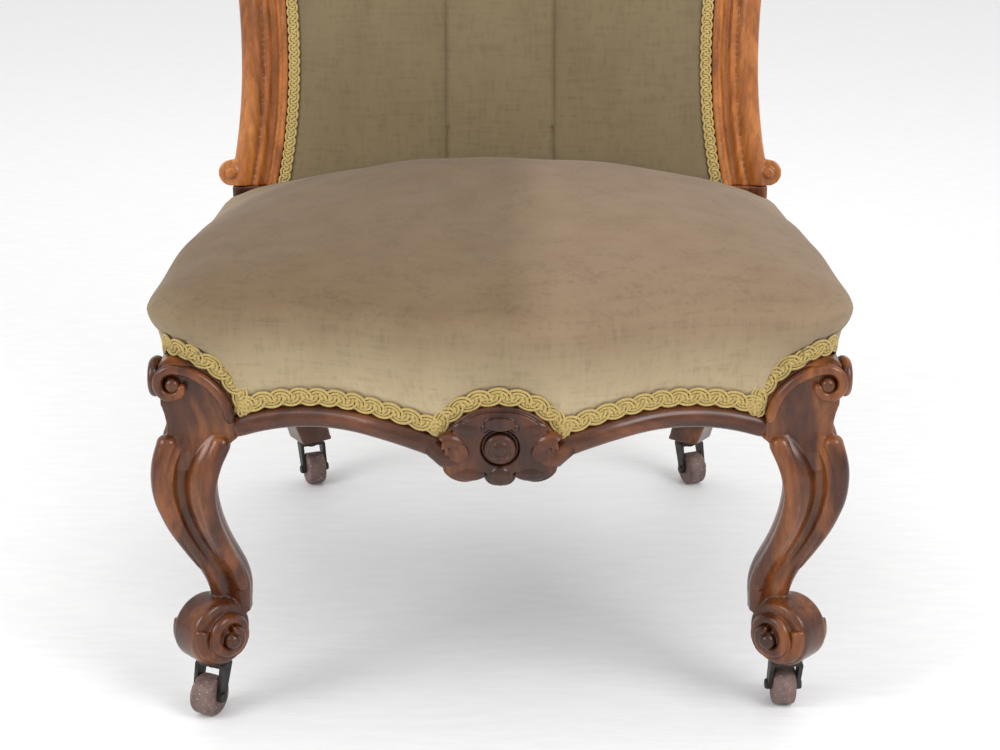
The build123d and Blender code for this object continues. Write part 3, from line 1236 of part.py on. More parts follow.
under_cloth = make_under_skirt(CLOTH_GAP)
save(make_seat_cover(under_cloth), "seat_cover")
save(make_seat_stuffing(under_cloth), "seat_stuffing")
save(make_seat_braid(under_cloth, make_under_skirt(CLOTH_GAP + BRAID_WIDTH)), "seat_braid")
save(make_spring_hessian(under_cloth), "spring_hessian")
save(make_springs(), "seat_springs")
save(make_webbing(lengthwise=True), "lengthwise_webbing")
save(make_webbing(lengthwise=False), "crosswise_webbing")
save(make_dust_cover(), "dust_cover")
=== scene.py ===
import bpy
import math
import numpy as np
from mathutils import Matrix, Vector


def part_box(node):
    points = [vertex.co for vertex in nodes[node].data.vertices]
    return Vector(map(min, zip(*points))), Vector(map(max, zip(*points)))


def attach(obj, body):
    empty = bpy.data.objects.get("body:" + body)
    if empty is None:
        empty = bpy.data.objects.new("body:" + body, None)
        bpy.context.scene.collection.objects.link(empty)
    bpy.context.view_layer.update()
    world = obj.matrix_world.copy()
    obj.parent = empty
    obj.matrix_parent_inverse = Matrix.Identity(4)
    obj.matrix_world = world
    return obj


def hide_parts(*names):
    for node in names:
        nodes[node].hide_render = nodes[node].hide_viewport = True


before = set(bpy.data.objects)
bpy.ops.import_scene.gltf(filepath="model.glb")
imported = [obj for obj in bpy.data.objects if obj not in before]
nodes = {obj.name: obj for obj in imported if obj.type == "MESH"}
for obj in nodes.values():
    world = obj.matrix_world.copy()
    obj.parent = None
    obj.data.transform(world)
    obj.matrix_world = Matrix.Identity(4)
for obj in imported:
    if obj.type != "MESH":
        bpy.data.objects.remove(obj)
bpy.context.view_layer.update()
MM = 0.001
ROOT = "chair_frame"

# Camera, matched to the photograph, in metres, degrees and millimetres of lens
CAMERA_HEIGHT = 0.7717
CAMERA_BACK = 1.5687
CAMERA_PITCH = 19.83
CAMERA_LENS = 66.06
SENSOR_WIDTH = 36.0

# Seat outline in plan, in millimetres, as in the solids
PIVOT_X = 234.0
PIVOT_Y = -236.0
RAIL_HALF = 200.0
RAIL_FACE_X = 254.0
CLOTH_FACE_Y = -256.0
FRONT_BOW = 42.0
SIDE_FRONT_Y = -202.0
SIDE_BACK_Y = 168.0
SIDE_TAPER = 10.0
FRONT_CORNER = 34.0
REAR_CORNER = 10.0
BACK_EDGE_Y = 157.0
BACK_STRIP = 12.0

# Lower edge of the cover, over the rails, the knees and the cartouche, as in the solids
RAIL_TOP_Z = 294.6
ROLL_TOP = 18.4
LOW_CENTRE_Z = 237.0
LOW_ARCH_Z = 260.0
LOW_END_Z = 249.0
ARCH_X = 140.0
DIP_X = 35.2
DIP_Z = 242.75
CARTOUCHE_TOP = [(-41.8, 266.6), (0.0, 291.4), (41.8, 266.6)]
KNEE_ARC = [(-34.0, 261.9), (-21.42, 294.8), (14.0, 311.9)]
VOLUTE_U = 14.0
VOLUTE_RADIUS = 18.5
VOLUTE_Z = 293.35

# Seat sides and crown, fitted to the photograph
SKIRT = 3.3
BULGE = 17.0
SIDE_POWER = 0.8
REAR_SWELL = 0.15
BACK_SWELL = 0.15
FACES_BACK = 0.5
MIDDLE_Y = -50.0
DOME_EDGE_Z = 366.0
DOME_RISE = 24.0
DOME_HALF_WIDTH = 272.0
DOME_FRONT_LENGTH = 290.0
DOME_REAR_LENGTH = 195.0
DOME_REAR_POWER = 3.4
DOME_MIDDLE_Y = -30.0
REAR_DROOP = 33.0
DROOP_START_Y = -120.0
EDGE_ROUND = 85.0
EDGE_DROP = 22.0
CORNER_POWER = 3.6
REAR_EASE = 0.65
UNDERSIDE_GROWTH = 0.6
UNDERSIDE_LAP = 1.0
PLEATS = [(-236.0, 2.6), (-228.0, 1.6)]
PLEAT_WIDTH = 2.2
PLEAT_FADE = 30.0
LONG_WAVE_HEIGHT = 0.9
SHORT_WAVE_HEIGHT = 0.5

# Points along half the seat's outline, and layers up its sides and over its crown
FRONT_POINTS = 90
FRONT_CORNER_POINTS = 30
SIDE_POINTS = 70
REAR_CORNER_POINTS = 8
BACK_POINTS = 50
SIDE_LAYERS = 30
CROWN_LAYERS = 60
CROWN_POWER = 2.2
FIRST_FOLDED_LAYER = 3
LAST_EVEN_LAYER = 12
UNEVEN_RUN = 25

# Gimp braid; the crescents' sizes are shares of its pitch or width
GIMP_WIDTH = 14.0
GIMP_PITCH = 15.0
GIMP_STAND = 1.4
GIMP_STRANDS = (1.0, 0.68, 0.36)
GIMP_ENDS = 13.0
BACK_GIMP_WIDTH = 10.0
BACK_GIMP_PITCH = 8.5
BACK_GIMP_STAND = 1.0
BACK_GIMP_STRANDS = (1.0, 0.5)
GIMP_STEP = 0.9
CRESCENT_POINTS = 15
CRESCENT_BEFORE = 0.5
CRESCENT_AFTER = 0.3
CRESCENT_REACH = 0.66
CRESCENT_HEIGHT = 0.54
CRESCENT_OFFSET = 0.08
CRESCENT_LIFT = 0.02
CRESCENT_LAP = 0.09
CRESCENT_LEAD = 0.02
STRAND_SHARE = 0.24
# The dark ribbon under the loops is painted shade for the gaps between them: its half width and how far it
# sinks
SHADE_SHEET_SHARE = 0.4
SHADE_SHEET_SINK = 0.4

# Carving on the knees and down the front legs, across and up each leg's faces
KNEE_FACE = 31.0
KNEE_BAND = 5.8
KNEE_SINK = 1.6
KNEE_MEMBER = 5.4
KNEE_MEMBER_SHARES = (0.8, 0.72)
KNEE_POINTS = 40
VOLUTE_POINTS = 44
VOLUTE_HALF_TURNS = 1.55
VOLUTE_CLOSING = 0.52
VOLUTE_POWER = 1.4
KNEE_EYE = 5.6
KNEE_EYE_DEPTH = 4.2
KNEE_EYE_SINK = 1.0
LEG_HEIGHTS = [250.0, 226.0, 201.0, 174.0, 148.0, 125.0, 104.0]
LEG_INNER = [-29.0, -17.0, -12.0, -15.0, -22.0, -29.5, -32.0]
LEG_OUTER = [24.0, 33.0, 33.5, 27.0, 17.0, 7.0, 1.0]
LEG_POINTS = 60
LEG_SOFTEN = 9
HUSK_LOW_Z = 126.0
HUSK_INSET = 5.0
HUSK_RADIUS = 9.0
HUSK_END = 0.3
SHAFT_INNER_INSET = 6.5
SHAFT_OUTER_INSET = 5.5
SHAFT_RADIUS = 8.4
SHAFT_END = 0.75
MEMBER_ROUNDING = 0.06
LEAST_ROUNDING = 0.01
MEMBER_SIDES = 20

# Whorl and eye on each side of a scroll foot
FOOT_CENTRE_Z = 72.4
WHORL_POINTS = 90
WHORL_START = 0.15
WHORL_HALF_TURNS = 3.6
WHORL_RADIUS = 21.5
WHORL_CLOSING = 14.0
WHORL_POWER = 0.9
WHORL_STAND = 13.5
WHORL_RISE = 10.5
WHORL_BACK = 2.4
WHORL_DROP = 2.8
WHORL_MEMBER = 6.2
WHORL_THINNING = 2.0
FOOT_EYE = 7.4
FOOT_EYE_STAND = 23.5

# Roll along the front rail, and the hook that ends it beside the cartouche
ROLL_START_X = 203.0
ROLL_END_X = 50.0
ROLL_POINTS = 60
ROLL_STAND = 1.5
ROLL_AXIS = 9.0
ROLL_START_RADIUS = 8.8
ROLL_END_RADIUS = 9.2
HOOK_POINTS = 36
HOOK_X = 39.0
HOOK_Z = 259.0
HOOK_HALF_TURNS = 1.2
HOOK_CURL = 9.0
HOOK_CLOSING = 3.0
HOOK_FORWARD = 4.0
HOOK_STAND = 7.0
HOOK_END_RADIUS = 6.4

# Cartouche: a ringed boss with lobes round it
CARTOUCHE_STAND = 12.0
CARTOUCHE_MIDDLE_Z = 260.0
RING_POINTS = 49
RING_RADIUS = 9.4
RING_CORD = 1.5
RING_STAND = 2.2
RING_SIDES = 16

# Back, in millimetres along and square to its leaning plane
BACK_Y = 181.0
BACK_Z = 338.0
LEAN = math.radians(11.0)
FLARE_X = 263.0
WAIST_X = 249.0
WAIST_S = 124.0
SHOULDER_X = 262.0
SHOULDER_S = 345.0
CREST_TOP_S = 600.0
CREST_POWER = 2.3
STILE_WIDTH = 45.0
STILE_BACK = 18.0
EDGE_POINTS = 120

# Back pad, with its long pleats, diamonds and buttons
PAD_GAP = 0.9
PAD_LOW_S = -2.0
PAD_BACK = -5.0
PAD_BORDER = 5.3
PAD_CROWN = 20.0
PAD_SHOULDER = 55.0
PAD_POWER = 2.4
PAD_WAVE = 0.5
PAD_LEAST = 2.0
PAD_ROWS = 260
PAD_COLUMNS = 241
PANEL_TOP_GAP = 0.4
BRAID_BAND = 10.0
LONG_PLEAT_DEPTH = 5.5
LONG_PLEAT_RUN = 9.0
LONG_PLEAT_LIP = 1.2
LONG_PLEAT_LIP_RUN = 3.0
LONG_PLEAT_PAST = 6.0
LONG_PLEAT_FADE = 12.0
CREASE_DEPTH = 4.5
CREASE_RUN = 5.0
CREASE_SPREAD = 1.2
DIMPLE_DEPTH = 6.5
DIMPLE_SPREAD = 320.0
BUTTON_X = 50.0
BUTTON_FIRST_S = 225.0
BUTTON_PITCH_S = 80.0
BUTTON_RADIUS = 7.0
BUTTON_DEPTH = 11.0
BUTTON_FLATNESS = 0.55

# Cloth on the outside of the back and under the seat
OUTSIDE_INSET = 7.0
OUTSIDE_DEPTH = -STILE_BACK - 0.4
OUTSIDE_CROWN = 3.0
OUTSIDE_ROUND = 14.0
OUTSIDE_POWER = 0.6
OUTSIDE_WAVE = 0.5
OUTSIDE_ROWS = 120
OUTSIDE_COLUMNS = 121
DUST_SAG = 4.0
DUST_RIPPLE = 0.5


# Small helpers
def add_mesh(name, verts, faces):
    """A smooth-shaded mesh from points in millimetres."""
    mesh = bpy.data.meshes.new(name)
    mesh.from_pydata([tuple(float(c) * MM for c in v) for v in verts], [], faces)
    mesh.validate()
    mesh.update()
    mesh.polygons.foreach_set("use_smooth", [True] * len(mesh.polygons))
    piece = bpy.data.objects.new(name, mesh)
    bpy.context.scene.collection.objects.link(piece)
    return piece


def face_outwards(piece):
    bpy.context.view_layer.objects.active = piece
    piece.select_set(True)
    bpy.ops.object.mode_set(mode="EDIT")
    bpy.ops.mesh.select_all(action="SELECT")
    bpy.ops.mesh.normals_make_consistent(inside=False)
    bpy.ops.object.mode_set(mode="OBJECT")
    piece.select_set(False)


def dress(piece, material):
    piece.data.materials.clear()
    piece.data.materials.append(material)


def join(pieces, name):
    bpy.ops.object.select_all(action="DESELECT")
    for piece in pieces:
        piece.select_set(True)
    bpy.context.view_layer.objects.active = pieces[0]
    bpy.ops.object.join()
    pieces[0].name = name
    pieces[0].select_set(False)
    return pieces[0]


def ring_faces(rings, count, start=0):
    """Faces that join closed rings of points, each ring to the next."""
    faces = []
    for i in range(rings - 1):
        low = start + i * count
        high = low + count
        for j in range(count):
            k = (j + 1) % count
            faces.append((low + j, low + k, high + k, high + j))
    return faces


def cords(name, paths, radii, material, sides):
    """Round cords along paths of points in millimetres, as one mesh; a radius may change along its path."""
    angles = np.arange(sides) * 2 * math.pi / sides
    corner = np.arange(sides)
    off_every_path = np.array([0.31, 0.83, 0.46])
    verts = []
    faces = []
    start = 0
    for path, radius in zip(paths, radii):
        path = np.asarray(path, dtype=float)
        tangent = np.gradient(path, axis=0)
        tangent /= np.linalg.norm(tangent, axis=1)[:, None]
        across = np.cross(tangent, off_every_path)
        across /= np.linalg.norm(across, axis=1)[:, None]
        over = np.cross(tangent, across)
        ring = np.cos(angles)[None, :, None] * across[:, None, :]
        ring = ring + np.sin(angles)[None, :, None] * over[:, None, :]
        reach = np.broadcast_to(radius, len(path))
        verts.append((path[:, None, :] + ring * reach[:, None, None]).reshape(-1, 3))
        faces += ring_faces(len(path), sides, start)
        faces.append((start + corner[::-1]).tolist())
        start += len(path) * sides
        faces.append((start - sides + corner).tolist())
    piece = add_mesh(name, np.concatenate(verts), faces)
    dress(piece, material)
    return piece


def lobes(name, places, material):
    """Rounded carved lobes, each given by its centre and half sizes in millimetres, as one mesh."""
    rings = 13
    count = 24
    turn = np.linspace(0, 2 * math.pi, count, endpoint=False)
    tilt = np.linspace(0, math.pi, rings)
    ball_x = np.outer(np.sin(tilt), np.cos(turn))
    ball_y = np.outer(np.sin(tilt), np.sin(turn))
    ball_z = np.repeat(np.cos(tilt)[:, None], count, axis=1)
    ball = np.stack([ball_x, ball_y, ball_z], axis=-1).reshape(-1, 3)
    verts = []
    faces = []
    for index, (centre, half) in enumerate(places):
        verts.append(np.asarray(centre) + ball * np.asarray(half))
        faces += ring_faces(rings, count, index * len(ball))
    piece = add_mesh(name, np.concatenate(verts), faces)
    dress(piece, material)
    return piece


def distance_run(path):
    return np.concatenate([[0], np.cumsum(np.linalg.norm(np.diff(path, axis=0), axis=1))])


def read_along(at, stops, line):
    """Points read off a line of points, at distances along it."""
    return np.stack([np.interp(at, stops, line[:, c]) for c in range(3)], axis=1)


def unit(vectors):
    return vectors / np.linalg.norm(vectors, axis=1)[:, None]


def circle_through(points):
    """Centre and radius of the circle through three points."""
    (ax, ay), (bx, by), (cx, cy) = points
    divisor = 2 * (ax * (by - cy) + bx * (cy - ay) + cx * (ay - by))
    a_square = ax * ax + ay * ay
    b_square = bx * bx + by * by
    c_square = cx * cx + cy * cy
    x = (a_square * (by - cy) + b_square * (cy - ay) + c_square * (ay - by)) / divisor
    y = (a_square * (cx - bx) + b_square * (ax - cx) + c_square * (bx - ax)) / divisor
    return x, y, math.hypot(ax - x, ay - y)


# Materials
class Shader:
    """A material's node tree with short ways to add and join nodes."""

    def __init__(self, name):
        self.material = bpy.data.materials.new(name)
        self.material.use_nodes = True
        self.tree = self.material.node_tree
        self.surface = self.tree.nodes["Principled BSDF"]
        self.place = self.tree.nodes.new("ShaderNodeTexCoord").outputs["Object"]

    def node(self, kind, inputs=None, **settings):
        made = self.tree.nodes.new(kind)
        for key, value in settings.items():
            setattr(made, key, value)
        for key, value in (inputs or {}).items():
            if isinstance(value, bpy.types.NodeSocket):
                self.tree.links.new(value, made.inputs[key])
            else:
                made.inputs[key].default_value = value
        return made

    def stretched(self, scale):
        return self.node("ShaderNodeMapping", {"Vector": self.place, "Scale": scale}).outputs["Vector"]

    def noise(self, vector, scale, detail=4.0, roughness=0.55, distortion=0.0):
        inputs = {"Vector": vector, "Scale": scale, "Detail": detail, "Roughness": roughness,
                  "Distortion": distortion}
        return self.node("ShaderNodeTexNoise", inputs).outputs["Fac"]

    def ramp(self, factor, stops):
        made = self.node("ShaderNodeValToRGB", {"Fac": factor})
        band = made.color_ramp
        while len(band.elements) < len(stops):
            band.elements.new(0.5)
        for element, (place, colour) in zip(band.elements, stops):
            element.position = place
            element.color = (*colour, 1.0)
        return made.outputs["Color"]

    def mix(self, factor, first, second, blend="MIX"):
        made = self.node("ShaderNodeMix", data_type="RGBA", blend_type=blend)
        for index, value in ((0, factor), (6, first), (7, second)):
            if isinstance(value, bpy.types.NodeSocket):
                self.tree.links.new(value, made.inputs[index])
            else:
                made.inputs[index].default_value = value if index == 0 else (*value, 1.0)
        return made.outputs[2]

    def span(self, value, low, high):
        inputs = {"Value": value, "From Min": low, "From Max": high}
        return self.node("ShaderNodeMapRange", inputs).outputs["Result"]

    def maths(self, operation, first, second):
        return self.node("ShaderNodeMath", {0: first, 1: second}, operation=operation).outputs[0]

    def bump(self, height, strength, distance):
        inputs = {"Height": height, "Strength": strength, "Distance": distance}
        return self.node("ShaderNodeBump", inputs).outputs["Normal"]

    def finish(self, **inputs):
        for key, value in inputs.items():
            name = key.replace("_", " ")
            if isinstance(value, bpy.types.NodeSocket):
                self.tree.links.new(value, self.surface.inputs[name])
            else:
                self.surface.inputs[name].default_value = value
        return self.material


def grey(level):
    return (level, level, level)


def make_wood(name, dark, middle, light, grain, painted_light_share=0.75):
    """Polished wood: broad figure and fine fibres along the grain, painted shade in its hollows and painted
    highlights on its arrises.
    """
    shader = Shader(name)
    long_way = shader.stretched(grain)
    figure = shader.noise(long_way, 9.0, 3.0, 0.5, 1.6)
    fibres = shader.noise(long_way, 70.0, 6.0, 0.65, 0.4)
    colour = shader.ramp(figure, [(0.28, dark), (0.5, middle), (0.72, light)])
    streaks = shader.ramp(fibres, [(0.35, (0.45, 0.42, 0.40)), (0.65, grey(1.0))])
    colour = shader.mix(0.75, colour, streaks, "MULTIPLY")
    # Painted shade darkens the hollows and painted highlights lighten the arrises, read from pointiness
    point = shader.node("ShaderNodeNewGeometry").outputs["Pointiness"]
    hollow_shade_edge_highlight = shader.ramp(point, [(0.42, (0.16, 0.13, 0.12)), (0.5, grey(1.0)), (0.58, (1.5, 1.35, 1.2))])
    colour = shader.mix(painted_light_share, colour, hollow_shade_edge_highlight, "MULTIPLY")
    gloss = shader.ramp(shader.noise(shader.place, 40.0), [(0.3, grey(0.19)), (0.7, grey(0.32))])
    return shader.finish(Base_Color=colour, Roughness=gloss, Specular_IOR_Level=0.38, Coat_Weight=0.1,
                         Coat_Roughness=0.12, Normal=shader.bump(fibres, 0.25, 0.0004))


def make_velvet(name, low_colour, top_colour, shade, low_z, high_z, half_tone=0.0):
    """Worn velvet: colour turning with height, patches of turned nap, a browner half and a fine weave."""
    shader = Shader(name)
    where = shader.node("ShaderNodeSeparateXYZ", {"Vector": shader.place})
    patches = shader.noise(shader.place, 7.0, 3.0, 0.6, 0.8)
    rise = shader.span(where.outputs["Z"], low_z, high_z)
    level = shader.maths("ADD", rise, shader.span(patches, -1.6, 2.8))
    level = shader.maths("SUBTRACT", level, 0.47)
    colour = shader.mix(level, low_colour, top_colour)
    if half_tone:
        browner = shader.maths("MULTIPLY", shader.span(where.outputs["X"], 0.005, 0.045), half_tone)
        colour = shader.mix(shader.maths("MULTIPLY", browner, rise), colour, (0.34, 0.24, 0.165))
    brushed = shader.noise(shader.stretched((1.0, 1.0, 0.35)), 24.0, 5.0, 0.7)
    nap = shader.ramp(brushed, [(0.25, shade), (0.6, grey(1.0)), (0.9, (1.08, 1.06, 1.02))])
    colour = shader.mix(0.6, colour, nap, "MULTIPLY")
    warp = shader.noise(shader.stretched((1.0, 1.0, 0.12)), 260.0, 2.0, 0.5)
    weft = shader.noise(shader.stretched((0.12, 0.12, 1.0)), 300.0, 2.0, 0.5)
    weave = shader.maths("ADD", warp, weft)
    threads = shader.ramp(weave, [(0.7, grey(0.72)), (1.25, grey(1.12))])
    colour = shader.mix(0.35, colour, threads, "MULTIPLY")
    return shader.finish(Base_Color=colour, Roughness=0.95, Sheen_Weight=0.1, Sheen_Roughness=0.4,
                         Specular_IOR_Level=0.12, Normal=shader.bump(weave, 0.35, 0.0005))


def make_cord(name, colour, shade):
    shader = Shader(name)
    strands = shader.noise(shader.place, 900.0, 3.0, 0.6)
    worn = shader.noise(shader.place, 35.0, 3.0, 0.6)
    tone = shader.ramp(strands, [(0.3, shade), (0.7, colour)])
    tone = shader.mix(shader.maths("MULTIPLY", worn, 0.6), tone, shade)
    return shader.finish(Base_Color=tone, Roughness=0.6, Sheen_Weight=0.2,
                         Normal=shader.bump(strands, 0.5, 0.0004))


def make_speckled(name, dark, light, scale, roughness, metallic=0.0, flecks=None):
    shader = Shader(name)
    cloudy = shader.noise(shader.place, scale, 5.0, 0.65)
    colour = shader.ramp(cloudy, [(0.3, dark), (0.7, light)])
    if flecks:
        spots = shader.noise(shader.place, scale * 7, 2.0, 0.5)
        colour = shader.mix(shader.span(spots, 0.64, 0.70), colour, flecks)
    pits = shader.noise(shader.place, scale * 3, 4.0, 0.6)
    return shader.finish(Base_Color=colour, Roughness=roughness, Metallic=metallic,
                         Normal=shader.bump(pits, 0.3, 0.0006))


UPRIGHT_GRAIN = (2.2, 2.2, 0.55)
STILE_GRAIN = (2.4, 2.4, 0.5)
RAIL_GRAIN = (0.5, 2.2, 2.2)
PLAIN_GRAIN = (0.6, 2.0, 2.0)
WOOD_DARK = (0.022, 0.007, 0.0035)
WOOD_MIDDLE = (0.098, 0.029, 0.010)
carved_wood = make_wood("carved wood", WOOD_DARK, WOOD_MIDDLE, (0.300, 0.100, 0.026), UPRIGHT_GRAIN)
rail_wood = make_wood("rail wood", WOOD_DARK, WOOD_MIDDLE, (0.24, 0.08, 0.024), RAIL_GRAIN)
stile_wood = make_wood("stile wood", (0.15, 0.045, 0.010), (0.40, 0.130, 0.027), (0.56, 0.21, 0.052),
                       STILE_GRAIN)
plain_wood = make_wood("plain wood", (0.30, 0.20, 0.11), (0.42, 0.29, 0.16), (0.52, 0.37, 0.22),
                       PLAIN_GRAIN, painted_light_share=0.3)
seat_velvet = make_velvet("seat velvet", (0.49, 0.395, 0.25), (0.162, 0.111, 0.066), (0.80, 0.78, 0.74),
                          low_z=0.285, high_z=0.362, half_tone=0.36)
back_velvet = make_velvet("back velvet", (0.178, 0.136, 0.077), (0.198, 0.153, 0.089), (0.78, 0.78, 0.74),
                          low_z=0.40, high_z=0.62)
gimp = make_cord("gimp", (0.66, 0.50, 0.18), (0.34, 0.24, 0.065))
# Dark colour for the ribbon under the braids: painted shade in the gaps between the loops
gimp_shade = make_cord("gimp shade", (0.17, 0.12, 0.04), (0.07, 0.05, 0.018))
jute = make_cord("jute", (0.42, 0.32, 0.18), (0.26, 0.19, 0.10))
black_cloth = make_cord("black cloth", (0.035, 0.035, 0.037), (0.018, 0.018, 0.02))
iron = make_speckled("iron", (0.016, 0.015, 0.014), (0.055, 0.048, 0.042), scale=120.0, roughness=0.5,
                     metallic=0.6)
steel = make_speckled("steel", (0.30, 0.29, 0.28), (0.48, 0.47, 0.45), scale=150.0, roughness=0.4,
                      metallic=1.0)
wheel_clay = make_speckled("wheel", (0.085, 0.050, 0.044), (0.200, 0.125, 0.110), scale=90.0,
                           roughness=0.62, flecks=(0.42, 0.36, 0.32))


# Show-wood: the solids, with the arrises of the carving softened
def carve(node, voxel, passes, material):
    piece = nodes[node]
    dress(piece, material)
    remesh = piece.modifiers.new("carved surface", "REMESH")
    remesh.mode = "VOXEL"
    remesh.voxel_size = voxel * MM
    remesh.use_smooth_shade = True
    smooth = piece.modifiers.new("worn edges", "SMOOTH")
    smooth.factor = 0.5
    smooth.iterations = passes


for side in ("left", "right"):
    carve(f"front_leg_{side}", 1.1, 3, carved_wood)
    carve(f"side_seat_rail_{side}", 1.6, 4, rail_wood)
    carve(f"back_leg_{side}", 1.6, 4, carved_wood)
    carve(f"back_stile_{side}", 1.2, 3, stile_wood)
carve("front_seat_rail", 1.2, 5, rail_wood)
carve("front_cartouche", 0.7, 4, carved_wood)
carve("crest_rail", 1.3, 3, stile_wood)
for name in ("back_seat_rail", "corner_blocks", "back_bottom_rail", "frame_dowels"):
    dress(nodes[name], plain_wood)
for name in ("seat_springs", "caster_plate_screws"):
    dress(nodes[name], steel)
for name in ("lengthwise_webbing", "crosswise_webbing", "spring_hessian", "back_hessian"):
    dress(nodes[name], jute)

# Casters
for corner in ("front_left", "front_right", "back_left", "back_right"):
    for name in ("fork", "pintle", "axle", "plate"):
        piece = nodes[f"{corner}_caster_{name}"]
        dress(piece, iron)
        worn = piece.modifiers.new("worn edges", "BEVEL")
        worn.width = 0.5 * MM
        worn.segments = 2
        worn.limit_method = "ANGLE"
    dress(nodes[f"{corner}_caster_wheel"], wheel_clay)


# Seat outline
def bow(x):
    """Front face of the bowed rail: two arcs that meet halfway out, the outer one turned the other way."""
    half = RAIL_HALF / 2
    rise = FRONT_BOW / 2
    radius = (half ** 2 + rise ** 2) / (2 * rise)
    reach = min(abs(x), RAIL_HALF)
    if reach <= half:
        return CLOTH_FACE_Y - FRONT_BOW + radius - math.sqrt(radius ** 2 - reach ** 2)
    return CLOTH_FACE_Y - radius + math.sqrt(radius ** 2 - (RAIL_HALF - reach) ** 2)


def side_face(y):
    return RAIL_FACE_X - SIDE_TAPER * (y - SIDE_FRONT_Y) / (SIDE_BACK_Y - SIDE_FRONT_Y)


def seat_plan():
    """Half outline of the rails' cloth faces, from the middle of the front to the middle of the back."""
    corner_x = RAIL_FACE_X - FRONT_CORNER
    corner_y = CLOTH_FACE_Y + FRONT_CORNER
    rear_x = side_face(BACK_EDGE_Y) - REAR_CORNER
    rear_y = BACK_EDGE_Y - REAR_CORNER
    points = [(x, bow(x)) for x in np.linspace(0, corner_x, FRONT_POINTS)]
    for turn in np.radians(np.linspace(-90, 0, FRONT_CORNER_POINTS))[1:]:
        points.append((corner_x + FRONT_CORNER * math.cos(turn), corner_y + FRONT_CORNER * math.sin(turn)))
    for y in np.linspace(corner_y, rear_y, SIDE_POINTS)[1:]:
        points.append((side_face(y), y))
    for turn in np.radians(np.linspace(0, 90, REAR_CORNER_POINTS))[1:]:
        points.append((rear_x + REAR_CORNER * math.cos(turn), rear_y + REAR_CORNER * math.sin(turn)))
    for x in np.linspace(rear_x, 0, BACK_POINTS)[1:]:
        points.append((x, BACK_EDGE_Y))
    return points


side_middle_y = (SIDE_FRONT_Y + SIDE_BACK_Y) / 2
knee_u, knee_z, knee_radius = circle_through(KNEE_ARC)
cart_x, cart_z, cart_radius = circle_through(CARTOUCHE_TOP)
arch_x, arch_z, arch_radius = circle_through([(DIP_X, DIP_Z), (ARCH_X, LOW_ARCH_Z), (RAIL_HALF, LOW_END_Z)])
dip_x, dip_z, dip_radius = circle_through([(-DIP_X, DIP_Z), (0, LOW_CENTRE_Z), (DIP_X, DIP_Z)])
side_y, side_z, side_radius = circle_through([
    (SIDE_FRONT_Y, LOW_END_Z), (side_middle_y, LOW_ARCH_Z), (SIDE_BACK_Y, LOW_END_Z)])


def on_top(centre, height, radius, at):
    """Height of a circle's upper half."""
    return height + math.sqrt(max(radius ** 2 - (at - centre) ** 2, 0))


def knee_top(x, y):
    """Top of the knee's scroll and volute under a place on the seat's front corner."""
    if y > PIVOT_Y:
        across = PIVOT_Y - y
    elif x < PIVOT_X:
        across = x - PIVOT_X
    else:
        across = max(x - PIVOT_X, PIVOT_Y - y)
    if across > VOLUTE_U:
        return on_top(VOLUTE_U, VOLUTE_Z, VOLUTE_RADIUS, across)
    return max(on_top(knee_u, knee_z, knee_radius, across), LOW_END_Z + ROLL_TOP)


def lower_edge(x, y):
    """Height of the cover's lower edge: along the rolls, over the cartouche and over each knee's scroll."""
    x = abs(x)
    if y > BACK_EDGE_Y - BACK_STRIP:
        return RAIL_TOP_Z
    if y < SIDE_FRONT_Y and x > RAIL_HALF:
        return knee_top(x, y)
    if y >= SIDE_FRONT_Y:
        return on_top(side_y, side_z, side_radius, y) + ROLL_TOP
    if x >= DIP_X:
        low = on_top(arch_x, arch_z, arch_radius, x) + ROLL_TOP
    else:
        low = dip_z - math.sqrt(dip_radius ** 2 - x ** 2) + ROLL_TOP
    if x < CARTOUCHE_TOP[2][0]:
        low = max(low, on_top(cart_x, cart_z, cart_radius, x))
    return low


half_plan = seat_plan()
plan = np.array(half_plan + [(-x, y) for x, y in reversed(half_plan[1:-1])])
around = np.roll(plan, -1, axis=0) - np.roll(plan, 1, axis=0)
outward = unit(np.stack([around[:, 1], -around[:, 0]], axis=1))
low_edge = np.array([lower_edge(x, y) for x, y in plan])
swell = 1 + REAR_SWELL * np.clip((plan[:, 1] - CLOTH_FACE_Y) / (BACK_EDGE_Y - CLOTH_FACE_Y), 0, 1)
swell = np.where(outward[:, 1] > FACES_BACK, BACK_SWELL, swell)


def grown(growth):
    return plan + outward * (growth * swell)[:, None]


# Seat cover
def uneven(points):
    """Slight unevenness of hand-laid stuffing, from a few long waves."""
    x, y, z = points[:, 0], points[:, 1], points[:, 2]
    long_wave = LONG_WAVE_HEIGHT * np.sin(x * 0.031 + 0.7) * np.sin(y * 0.027 + z * 0.02)
    return long_wave + SHORT_WAVE_HEIGHT * np.sin(x * 0.071 - y * 0.053 + 1.9)


def corner_pleats(points):
    """Depth of the small folds where the cover turns each front corner."""
    depth = np.zeros(len(points))
    fade = np.clip((DOME_EDGE_Z - EDGE_DROP / 2 - points[:, 2]) / PLEAT_FADE, 0, 1)
    for place_y, reach in PLEATS:
        across = (points[:, 1] - place_y) / PLEAT_WIDTH
        depth += np.where(np.abs(points[:, 0]) > RAIL_HALF, reach, 0) * np.exp(-across ** 2) * fade
    return depth


bow_places = np.linspace(0, RAIL_FACE_X + BULGE, 120)
bow_faces = np.array([bow(x) for x in bow_places])


def edge_share(x, y):
    """How near a place is to the seat's rounded front and side edges: 1 on the edge, 0 well inside."""
    side_edge = side_face(y) + BULGE
    front_edge = np.interp(np.abs(x), bow_places, bow_faces) - BULGE
    aside = np.clip(1 - (side_edge - np.abs(x)) / EDGE_ROUND, 0, 1)
    ahead = np.clip(1 - (y - front_edge) / EDGE_ROUND, 0, 1)
    return np.clip((aside ** CORNER_POWER + ahead ** CORNER_POWER) ** (1 / CORNER_POWER), 0, 1)


